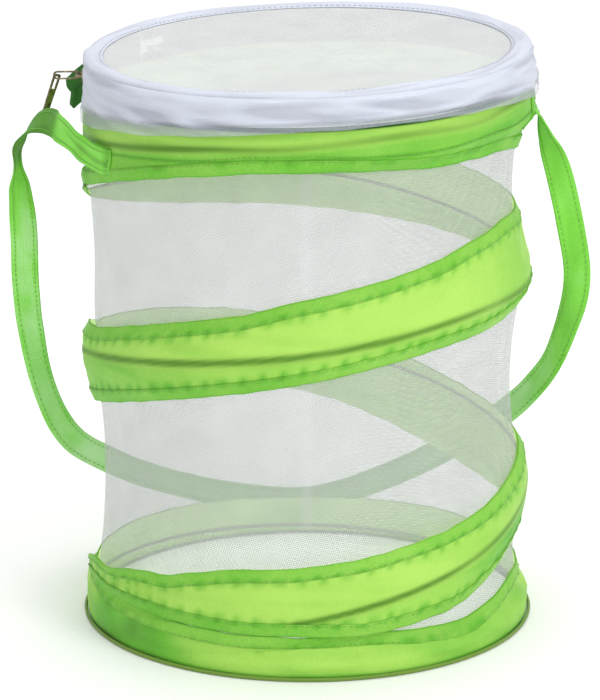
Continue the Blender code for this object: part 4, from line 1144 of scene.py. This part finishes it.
# The hem's deeper colour, painted shade along its folded top edge, and darker specks by its
# stitches
def bottom_hem_tone_and_shade(along, across):
    specks = max(round_ripple(360 * along, size=0.006, seed=3.5), 0)
    return 0.14 + 0.14 * bell(1 - across, 0.10) + 0.6 * specks * bell(across - 0.1, 0.3)


def top_band_spot(angle, share, lift=0.0):
    """A point of the top band; share runs from its hem up to the zip."""
    low, high, ring = top_band_low(angle), top_band_high(angle), top_ring_height(angle)
    height = low + (high - low) * share
    radius = band_radius(angle, height) if height < ring else COVER_RADIUS
    above = clamp((height - ring - RIDGE_FLAT) / max((high - ring) * 0.4, 0.0001))
    radius -= BAND_TAPER * ease(above)
    from_low = share * (high - low)
    free = ease((abs(height - ring) - RIDGE_FLAT) / 0.006) * ease((high - height) / 0.005)
    free *= ease(from_low / 0.006)
    return band_skin(angle, height, radius + lift, from_low, free, 62, (0.035, 0.007),
                     (1.0, 2.5, 4.0))


def top_band_tone_and_shade(along, across):
    """Top band: painted shade below its fold and in its folds, darker along its middle seam."""
    angle = 360 * along
    low, ring = top_band_low(angle), top_ring_height(angle)
    height = low + (top_band_high(angle) - low) * across
    below_fold = ease((ring + between(CREASE_ABOVE_RING, angle) - height) / 0.005)
    seam = bell(height - (ring - between(LINE_UNDER_RING, angle)), 0.0007)
    folds = max(ripple(angle, height, across=0.04, up=0.006, seed=2.9), 0)
    return 0.08 + 0.30 * below_fold + 0.30 * seam + 0.25 * folds


def top_band_crease_shade(along, across):
    """How much painted crease shade the top band gets over its ring, most on the left."""
    angle = 360 * along
    low = top_band_low(angle)
    height = low + (top_band_high(angle) - low) * across
    fold = top_ring_height(angle) + between(CREASE_ABOVE_RING, angle)
    sharp = 0.85 * bell(height - fold + 0.0004, 0.0018) * (1 + bell(angle - 230, 20))
    return clamp(sharp * (0.8 + 0.5 * round_ripple(angle, size=0.05, seed=3.0)))


def top_hem_share(angle, across):
    return HEM_WIDTH / (top_band_high(angle) - top_band_low(angle)) * across


# The hem's deeper colour, painted shade along its folded lower edge, and darker specks by its
# stitches
def top_hem_tone_and_shade(along, across):
    specks = max(round_ripple(360 * along, size=0.006, seed=7.5), 0)
    return 0.26 + 0.14 * bell(across, 0.12) + 0.6 * specks * bell(across - 0.9, 0.3)


def hemmed_band(name, body, spot, flat, rows, tone_and_shade, crease_shade, hem_share, hem_tone_and_shade, stitch_share):
    """A band round the cage, its hem, one cloth thicker, and the stitches along the hem."""
    girth = flat[0]

    def band_place(along, across):
        return spot(360 * along, across)

    def hem_place(along, across):
        angle = 360 * along
        return spot(angle, hem_share(angle, across), CLOTH + LAYER_GAP)

    def stitch(share):
        angle = 360 * share
        point = spot(angle, hem_share(angle, stitch_share), CLOTH + HEM_CLOTH + THREAD_RISE)
        return point, outwards(point)

    band = cloth(f"{name}_cloth", BAND_COLUMNS, rows, band_place, flat, green_cloth(), closed=True,
                 tone_and_shade=tone_and_shade, crease_shade=crease_shade, reverse=backlit_reverse_cloth())
    dress(band, body, "green_cloth", name)
    hem = cloth(f"{name}_hem", BAND_COLUMNS, HEM_ROWS, hem_place, (girth, HEM_WIDTH), hem_cloth(),
                thickness=HEM_CLOTH, closed=True, tone_and_shade=hem_tone_and_shade)
    dress(hem, body, "green_cloth")
    row = thread_row(f"{name}_stitches", stitch, girth, green_thread())
    dress(row, body, "green_cloth")
    return band, hem, row


class CAGE_OT_bottom(bpy.types.Operator):
    """The floor panel, the bottom band with its hem and the binding round the lower edge"""
    bl_idname = "cage.bottom"
    bl_label = "Bottom"

    def execute(self, context):
        girth = 2 * math.pi * COVER_RADIUS
        band, hem, row = hemmed_band(
            "bottom_band", "base", bottom_band_spot, (girth, 0.024), 16, bottom_band_painted_shade, None,
            bottom_hem_share, bottom_hem_tone_and_shade, 1 - HEM_STITCH_SHARE)

        def panel(along, across):
            angle = -360 * along
            soft = 0.5 + 0.5 * ripple(angle, across * 0.1, across=0.04, up=0.05, seed=6.0)
            lift = FLOOR_SOFTNESS * soft * ease((1 - across) * 6) * ease(across * 5)
            return cylinder_point(FLOOR_RADIUS * across, angle, FLOOR_THICKNESS + lift)

        floor = cloth("floor_panel_cloth", 144, 40, panel, (1, 1), floor_cloth(),
                      thickness=FLOOR_THICKNESS, offset=-1, closed=True,
                      uv_of=disc_uv(FLOOR_RADIUS))
        dress(floor, "base", "white_cloth", "floor_panel")

        def binding(along, across):
            angle, turn = 360 * along, 2 * math.pi * across
            squeeze = 1 + 0.06 * round_ripple(angle, size=0.006, seed=9.0)
            out = PIPING_RADIUS * (1 + math.cos(turn) * squeeze)
            height = PIPING_HALF_HEIGHT * (1 + math.sin(turn) * squeeze)
            return cylinder_point(FLOOR_RADIUS + PIPING_GAP + out, angle, height)

        piping = cloth("bottom_piping_cloth", BAND_COLUMNS, 10, binding, (girth, 0.006),
                       olive_binding(), thickness=0, closed=True)
        dress(piping, "base", "olive_binding", "bottom_piping")
        return {"FINISHED"}


class CAGE_OT_top_band(bpy.types.Operator):
    """The green band round the top ring with its hem, and the two sewn-down strap ends"""
    bl_idname = "cage.top_band"
    bl_label = "Top band"

    def execute(self, context):
        girth = 2 * math.pi * COVER_RADIUS
        band, hem, row = hemmed_band(
            "top_band", "rim", top_band_spot, (girth, 0.034), 30, top_band_tone_and_shade, top_band_crease_shade,
            top_hem_share, top_hem_tone_and_shade, HEM_STITCH_SHARE)

        def middle_stitch(share):
            angle = 360 * share
            low = top_band_low(angle)
            seam = top_ring_height(angle) - between(LINE_UNDER_RING, angle)
            high = max(seam, low + HEM_WIDTH + 0.0015)
            point = top_band_spot(angle, (high - low) / (top_band_high(angle) - low),
                                  CLOTH + THREAD_RISE)
            return point, outwards(point)

        line = thread_row("top_band_line", middle_stitch, girth, green_thread())
        dress(line, "rim", "green_cloth")
        talls = [top_band_high(angle) - top_band_low(angle) for angle in range(0, 360, 5)]
        for side, root in ROOTS.items():
            self.strap_end(side, *root)
        return {"FINISHED"}

    def strap_end(self, side, angle, middle, extra):
        """A strap end sewn down on the band, with a stitched border and cross."""
        tall = ROOT_HEIGHT + extra

        def patch(along, across):
            around = angle + ROOT_HALF_DEG * (2 * along - 1)
            height = middle - ROOT_HEIGHT / 2 + tall * across
            low = top_band_low(around)
            share = clamp((height - low) / (top_band_high(around) - low))
            under = top_band_spot(around, share, CLOTH + LAYER_GAP)
            dome = 0.0003 * math.sin(math.pi * along) * math.sin(math.pi * across)
            return cylinder_point(math.hypot(under.x, under.y) + dome, around, height)

        def border(share):
            place = clamp(share) * (len(ROOT_BORDER) - 1)
            index = min(int(place), len(ROOT_BORDER) - 2)
            one, two = Vector(ROOT_BORDER[index]), Vector(ROOT_BORDER[index + 1])
            point = patch(*one.lerp(two, place - index))
            return point + outwards(point) * ROOT_THREAD_RISE, outwards(point)

        width = math.radians(2 * ROOT_HALF_DEG) * ROOT_RADIUS
        end = cloth(f"strap_end_{side}", 14, 12, patch, (width, tall), strap_webbing(),
                    thickness=ROOT_THICKNESS, tone_and_shade=lambda along, across: 0.45)
        dress(end, "rim", "deep_green_webbing", f"strap_root_{side}")
        row = thread_row(f"strap_end_stitches_{side}", border, ROOT_THREAD_LENGTH, strap_thread())
        dress(row, "rim", "deep_green_webbing")


# Zip

class CAGE_OT_zip(bpy.types.Operator):
    """The two zip tapes and their nylon teeth, the stops, and the slider with its pull tab"""
    bl_idname = "cage.zip"
    bl_label = "Zip"

    def execute(self, context):
        for half in ZIP_HALVES:
            self.half(*half)
        for stop in ("zip_stop_first", "zip_stop_last"):
            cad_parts[stop].data.materials[0] = dark_bronze()
        for piece in METAL_PIECES:
            self.metal(*piece)
        return {"FINISHED"}

    def half(self, name, side, body, first, last, start):
        """One tape and its teeth; the lower half's teeth stand between those of the upper half."""
        sweep = TAPE_TO - TAPE_FROM
        length = arc(sweep, TAPE_RADIUS)

        def tape(along, across):
            share = across if side > 0 else 1 - across
            return rim_point(TAPE_RADIUS - TAPE_THICKNESS / 2, TAPE_FROM + sweep * along,
                             side * (TAPE_EDGE + TAPE_WIDTH * share))

        strip = cloth(f"zip_tape_cloth_{name}", 220, 4, tape, (length, TAPE_WIDTH), dark_tape(),
                      thickness=TAPE_THICKNESS)
        dress(strip, body, "zip_tape", f"zip_tape_{name}")
        count = int(arc(last - first, CHAIN_RADIUS) / TOOTH_PITCH)
        size = Matrix.Diagonal((*TOOTH_HALF_SIZES, 1.0))
        teeth = []
        for index in range(count):
            angle = first + (last - first) * (index + start) / count
            place = cylinder_point(CHAIN_RADIUS, angle, side * TOOTH_FROM_MIDDLE)
            turn = Matrix.Rotation(math.radians(angle), 4, "Z")
            teeth.append(RIM_FRAME @ Matrix.Translation(place) @ turn @ size)
        row = scatter(f"zip_teeth_{name}", teeth, nylon_teeth())
        dress(row, body, "zip_coil", f"zip_chain_{name}")

    def metal(self, source, name, body, bevel):
        """A metal solid's copy with rounded edges; the tab hangs with its flat side forward."""
        builder = bmesh.new()
        builder.from_mesh(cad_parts[source].data)
        bmesh.ops.remove_doubles(builder, verts=builder.verts, dist=0.000005)
        if bevel:
            bmesh.ops.dissolve_limit(builder, angle_limit=math.radians(2), verts=builder.verts,
                                     edges=builder.edges)
            sharp = [edge for edge in builder.edges
                     if len(edge.link_faces) == 2 and edge.calc_face_angle() > math.radians(30)]
            bmesh.ops.bevel(builder, geom=sharp, offset=bevel, segments=2, profile=0.5,
                            affect="EDGES", material=-1, clamp_overlap=True)
        if source == "pull_tab":
            middle = sum((vert.co for vert in builder.verts), Vector()) / len(builder.verts)
            hang = cylinder_point(math.sin(TAB_SWING), SLIDER_ANGLE, -math.cos(TAB_SWING))
            turn = Matrix.Rotation(TAB_TURN, 3, RIM_FRAME.to_3x3() @ hang)
            bmesh.ops.rotate(builder, verts=builder.verts, cent=middle, matrix=turn)
        dress(add_piece(name, builder, dark_bronze(), sharp=40), body, "dark_bronze", source)


# Lid

def crumple(broad, narrow):
    """Long soft folds with sharper crests, from 0 in a trough to 1 on a crest."""
    return clamp(1 - 1.9 * abs(broad + 0.35 * narrow))


def rim_folds(angle, level):
    slanted = level + 0.005 * math.sin(math.radians(angle))
    return crumple(ripple(angle, slanted, across=0.062, up=0.0068, seed=31.0),
                   ripple(angle, slanted, across=0.028, up=0.0040, seed=36.0))


def flap_folds(angle, height):
    along = arc(angle, FLAP_RADIUS)
    slanted = height + along * 0.05
    return crumple(strip_noise(along / 0.062, slanted / 0.0068, seed=2.0),
                   strip_noise(along / 0.028, slanted / 0.0040, seed=7.0))


def lid_net_spot(along, across):
    """A point of the lid's net; across runs from its middle to its rim."""
    angle = -360 * along
    height = LID_TOP - 0.0002 - LID_SAG * (1 - across * across)
    soft = 0.0009 * ripple(angle, across * 0.2, across=0.05, up=0.06, seed=2.0)
    height += soft * ease((1 - across) * 6) * ease(across * 4)
    return rim_point(LID_NET_RADIUS * across, angle, height)


def lid_rim_spot(along, across):
    """A point of the white rim, which goes from its outer edge up over the hoop to the net."""
    angle = 360 * along
    flat, soft = LID_RIM_RADIUS - LID_RIM_INNER, LID_RIM_BEND
    far = (flat + LID_DROP) * (1 - across)
    if far < flat - soft:
        radius, height = LID_RIM_INNER + far, LID_TOP
    elif far < flat + soft:
        turn = (far - flat + soft) / (2 * soft) * math.pi / 2
        radius = LID_RIM_RADIUS - soft + soft * math.sin(turn)
        height = LID_TOP - soft + soft * math.cos(turn)
    else:
        radius, height = LID_RIM_RADIUS, LID_TOP - (far - flat)
    over_hoop = 0.0008 * bell(radius - HOOP_RADIUS, 0.0022)
    sweep = 0.0007 * ripple(angle, far, across=0.030, up=0.004, seed=7.0)
    broad = 0.0010 * round_ripple(angle, size=0.035, seed=1.0)
    height += (over_hoop + sweep + 0.0013 * rim_folds(angle, far) + broad) * ease(far / 0.003)
    side = 0.0009 * (0.5 + 0.5 * ripple(angle, far, across=0.02, up=0.004, seed=5.0))
    radius += side * ease((far - flat + 0.002) / 0.002)
    return rim_point(radius, angle, height)


def lid_rim_tone_and_shade(along, across):
    """How deep the rim's grey is: a darker line along its seam, and painted shade in its folds."""
    level = (LID_RIM_RADIUS - LID_RIM_INNER + LID_DROP) * (1 - across)
    seam = bell(across - LID_RIM_STITCH_SHARE, 0.035)
    return 0.12 * seam + 0.30 * (1 - rim_folds(360 * along, level)) ** 2


class CAGE_OT_lid(bpy.types.Operator):
    """The lid's net and its white rim, folded over the hoop"""
    bl_idname = "cage.lid"
    bl_label = "Lid"

    def execute(self, context):
        net = cloth("lid_net_cloth", 144, 44, lid_net_spot, (1, 1), lid_mesh(),
                    thickness=NET_CLOTH, offset=0, closed=True, uv_of=disc_uv(LID_NET_RADIUS))
        dress(net, "lid", "white_net", "lid_net")
        girth = 2 * math.pi * LID_RIM_RADIUS
        rim = cloth("lid_rim_cloth", BAND_COLUMNS, 18, lid_rim_spot, (girth, LID_RIM_WIDTH),
                    white_cloth(), closed=True, tone_and_shade=lid_rim_tone_and_shade)
        dress(rim, "lid", "white_cloth", "lid_rim")

        def stitch(share):
            up = Vector((0, 0, 1))
            return lid_rim_spot(share, LID_RIM_STITCH_SHARE) + up * (CLOTH + THREAD_RISE), up

        row = thread_row("lid_rim_stitches", stitch, 2 * math.pi * LID_NET_RADIUS, white_thread())
        dress(row, "lid", "white_cloth")
        return {"FINISHED"}


def flap_drop(angle):
    """How far the flap's even edge hangs below the zip."""
    return FLAP_DEPTH * round_table(FLAP_SHARES, angle)


def flap_spot(angle, share):
    """A point of the flap; share runs from its lower edge up to the lid's rim."""
    along = arc(angle, FLAP_RADIUS)
    drop = flap_drop(angle) + 0.0009 * strip_noise(along / 0.022, 0, seed=5.0)
    height = -drop + (LID_TOP - FLAP_BELOW_TOP + drop) * share
    ends = bell(angle - 192, 20) + 0.7 * bell(angle - 358, 14)
    flare = FLAP_FLARE * math.cos(share * math.pi / 2) ** (1 + 3 * ends) * (1 - 0.3 * ends)
    folds = 0.0026 * flap_folds(angle, height)
    folds += 0.0006 * strip_noise(along / 0.018, height / 0.010, seed=6.0)
    folds *= ease(share / 0.15) * ease((1 - share) / 0.12) * (1 - 0.7 * ends)
    return rim_point(FLAP_RADIUS + flare + max(folds, 0), angle, height)


def flap_tone_and_shade(angle, share):
    """How deep the flap's grey is: deeper at its hem, and painted shade in its folds."""
    drop = flap_drop(angle)
    folds = (1 - flap_folds(angle, -drop + (LID_TOP + drop) * share)) ** 2
    return 0.05 + 0.30 * bell(share - 0.26, 0.03) + 0.45 * folds


class CAGE_OT_flap(bpy.types.Operator):
    """The white flap that hangs from the lid over the zip, sheer along its lower edge"""
    bl_idname = "cage.flap"
    bl_label = "Flap"

    def execute(self, context):
        sweep = FLAP_TO - FLAP_FROM
        length = arc(sweep, FLAP_RADIUS)

        def follow(shape):
            return lambda along, across: shape(FLAP_FROM + sweep * along, across)

        finish = white_cloth("flap cloth", 0.78, sheer=(0.32, 0.0050, 0.0085))
        flap = cloth("lid_flap_cloth", 300, 22, follow(flap_spot), (length, 0.024), finish,
                     tone_and_shade=follow(flap_tone_and_shade))
        dress(flap, "lid", "white_cloth", "lid_flap")
        talls = [LID_TOP + flap_drop(FLAP_FROM + step * 3) for step in range(101)]
        return {"FINISHED"}


class CAGE_OT_hinge(bpy.types.Operator):
    """The sewn stretch that holds the lid, and the folded-out end of the zip tapes"""
    bl_idname = "cage.hinge"
    bl_label = "Hinge and zip tail"

    def execute(self, context):
        far = TAPE_EDGE + TAPE_WIDTH
        middle = rim_point(TAPE_RADIUS, HINGE_ANGLE, 0)

        def panel(along, across):
            angle = HINGE_ANGLE - HINGE_HALF + 2 * HINGE_HALF * along
            radius = TAPE_RADIUS - TAPE_THICKNESS / 2
            radius += 0.0003 * math.sin(along * 40) * math.sin(math.pi * across)
            return rim_point(radius, angle, far * (2 * across - 1))

        width = arc(2 * HINGE_HALF, TAPE_RADIUS)
        hinge = cloth("hinge_panel_cloth", 40, 24, panel, (width, 2 * far), white_cloth(),
                      thickness=TAPE_THICKNESS, reverse=dark_tape(),
                      tone_and_shade=lambda along, across: 0.3 * abs(math.sin(across * math.pi * 2)))
        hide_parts("hinge_panel")
        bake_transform(hinge)

        side = RIM_FRAME.to_3x3() @ cylinder_point(1, TAIL_ANGLE + 90, 0)

        def leaf(along, across):
            left, right = along_line(TAIL_LEFT, 1 - across), along_line(TAIL_RIGHT, 1 - across)
            flat = left.lerp(right, along)
            spot = rim_point(TAIL_START + TAIL_REACH * flat.x, TAIL_ANGLE,
                             TAIL_RISE - TAIL_HEIGHT * (1 - flat.y))
            bow = 0.0012 * math.sin(math.pi * along) + 0.0008 * math.sin(across * 9)
            return spot + side * bow * flat.x

        tail = cloth("zip_tail_cloth", 14, 34, leaf, (TAIL_REACH, TAIL_HEIGHT), dark_tape(),
                     thickness=TAIL_THICKNESS, offset=0,
                     tone_and_shade=lambda along, across: 0.5 * bell(along - 0.5, 0.1))
        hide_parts("zip_tail")
        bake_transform(tail)
        return {"FINISHED"}


# Strap

@lru_cache(maxsize=None)
def strap_frame(share):
    """Middle, width direction and outward direction of the strap at a share of its route."""
    middles = [Vector(place) * CAGE_HEIGHT for place, turn in STRAP_ROUTE]
    turns = [Vector(turn).normalized() for place, turn in STRAP_ROUTE]
    for index in range(1, len(turns)):
        if turns[index].dot(turns[index - 1]) < 0:
            turns[index] = -turns[index]

    def read(table, place):
        return Vector([smooth_table([item[axis] for item in table], place) for axis in range(3)])

    last = len(middles) - 1
    place = clamp(share) * last
    before, after = read(middles, max(place - 0.05, 0)), read(middles, min(place + 0.05, last))
    ahead = (after - before).normalized()
    turn = read(turns, place)
    across = (turn - ahead * turn.dot(ahead)).normalized()
    return read(middles, place), across, ahead.cross(across).normalized()


def strap_spot(along, across, lift=0.0):
    """A point of the strap: cupped and wavy on its way, and drawn onto its sewn ends."""
    middle, width_way, through = strap_frame(round(along, 5))
    offset, from_end = across - 0.5, min(along, 1 - along)
    cup = 0.0018 * (1 - 4 * offset * offset) * strip_noise(along * 14, 0, seed=3.0)
    wave = 0.0010 * strip_noise(along * 40, across * 2, seed=5.0)
    sewn = outwards(-middle) * STRAP_SEWN_IN * bell(from_end, 0.012)
    lifted = through * ((cup + wave) * ease(from_end * 14) + lift)
    return middle + width_way * STRAP_WIDTH * offset + sewn + lifted


def strap_light_and_shade(along, across):
    """Strap's green: painted light behind the cage, painted shade where it is turned away."""
    edge = min(across, 1 - across)
    # Painted light: paler where the strap hangs behind the cage
    backlit_pale = 0.45 * ease((along - 0.28) / 0.05) + 0.55 * ease((along - 0.46) / 0.06)
    backlit_pale *= 1 - ease((along - 0.74) / 0.06)
    # Painted shade where the strap is turned away
    turned_shade = 0.50 * ease((along - 0.115) / 0.02) * ease((0.275 - along) / 0.03)
    turned_shade += 0.30 * bell(across - 0.62 + along * 2.5, 0.10) * ease((0.11 - along) / 0.04)
    turned_shade += 0.25 * ease((0.02 - along) / 0.015)
    edges = 0.08 * bell(edge, 0.07) + 0.08 * bell(edge - 0.16, 0.03)
    uneven = 0.15 * max(strip_noise(along * 40, across * 2, seed=8.0), 0)
    return 0.25 * (1 - backlit_pale) + edges + uneven + turned_shade


class CAGE_OT_strap(bpy.types.Operator):
    """The carrying strap, sewn to the top band at both ends and hanging behind the cage"""
    bl_idname = "cage.strap"
    bl_label = "Strap"

    def execute(self, context):
        route = [strap_frame(step / 400)[0] for step in range(401)]
        length = sum((two - one).length for one, two in zip(route, route[1:]))
        strap = cloth("strap_cloth", 340, 12, strap_spot, (length, STRAP_WIDTH), strap_webbing(),
                      thickness=STRAP_THICKNESS, offset=0, tone_and_shade=strap_light_and_shade)
        low, high = STRAP_STITCH_SHARES
        rows = []
        for name, across, side in (("a", low, 1), ("b", high, 1), ("c", low, -1), ("d", high, -1)):
            def stitch(share):
                share = clamp(share)
                through = strap_frame(round(share, 5))[2]
                lift = side * (STRAP_THICKNESS / 2 + LAYER_GAP)
                return strap_spot(share, across, lift), through * side

            rows.append(thread_row(f"strap_stitches_{name}", stitch, length, strap_thread(),
                                   STRAP_STITCH_FROM, STRAP_STITCH_TO))
        for item in [strap] + rows:
            dress(item, "strap", "deep_green_webbing")
            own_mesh(item)
        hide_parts("strap")
        return {"FINISHED"}


# Stage, panel and start

class CAGE_OT_stage(bpy.types.Operator):
    """Pale floor, soft studio light and the camera"""
    bl_idname = "cage.stage"
    bl_label = "Stage"

    def execute(self, context):
        scene = context.scene
        builder = bmesh.new()
        bmesh.ops.create_grid(builder, x_segments=8, y_segments=8, size=STAGE_HALF)
        bmesh.ops.translate(builder, verts=builder.verts, vec=(0, 0, -STAGE_BELOW))
        add_piece("studio_floor", builder, studio_finish("studio floor"))

        world = bpy.data.worlds.new("soft daylight")
        world.use_nodes = True
        sky = world.node_tree.nodes["Background"]
        sky.inputs["Color"].default_value = (1.0, 1.0, 1.0, 1.0)
        sky.inputs["Strength"].default_value = SKY_STRENGTH
        scene.world = world
        for name, place, aim, size, power in LAMPS:
            lamp = bpy.data.lights.new(name, "AREA")
            lamp.shape = "DISK"
            lamp.size = size
            lamp.energy = power
            item = bpy.data.objects.new(name, lamp)
            item.location = place
            item.rotation_euler = (Vector(aim) - Vector(place)).to_track_quat("-Z", "Y").to_euler()
            scene.collection.objects.link(item)

        camera = bpy.data.cameras.new("view")
        camera.lens = CAMERA_LENS
        camera.sensor_width = 36.0
        camera.clip_end = 30.0
        item = bpy.data.objects.new("view", camera)
        item.location = CAMERA_PLACE
        item.rotation_euler = (math.radians(90 - CAMERA_DOWN_DEG), 0, 0)
        scene.collection.objects.link(item)
        scene.camera = item
        scene.view_settings.view_transform = "Standard"
        return {"FINISHED"}


STEPS = ("wall", "spring", "sleeve", "bottom", "top_band", "zip", "lid", "flap", "hinge", "strap",
         "stage")


class CAGE_PT_panel(bpy.types.Panel):
    """Lists the cage's sizes, colours and steps"""
    bl_label = "Insect cage"
    bl_idname = "CAGE_PT_panel"
    bl_space_type = "VIEW_3D"
    bl_region_type = "UI"
    bl_category = "Insect cage"

    def draw(self, context):
        column = self.layout.column()
        for key in CageSettings.__annotations__:
            column.prop(context.scene.cage, key)
        for step in STEPS:
            column.operator(f"cage.{step}")


CLASSES = (CageSettings, CAGE_OT_wall, CAGE_OT_spring, CAGE_OT_sleeve, CAGE_OT_bottom,
           CAGE_OT_top_band, CAGE_OT_zip, CAGE_OT_lid, CAGE_OT_flap, CAGE_OT_hinge, CAGE_OT_strap,
           CAGE_OT_stage, CAGE_PT_panel)


def register():
    for item in CLASSES:
        bpy.utils.register_class(item)
    bpy.types.Scene.cage = PointerProperty(type=CageSettings)


def unregister():
    del bpy.types.Scene.cage
    for item in reversed(CLASSES):
        bpy.utils.unregister_class(item)


def main():
    register()
    for step in STEPS:
        getattr(bpy.ops.cage, step)()


if __name__ == "__main__":
    main()
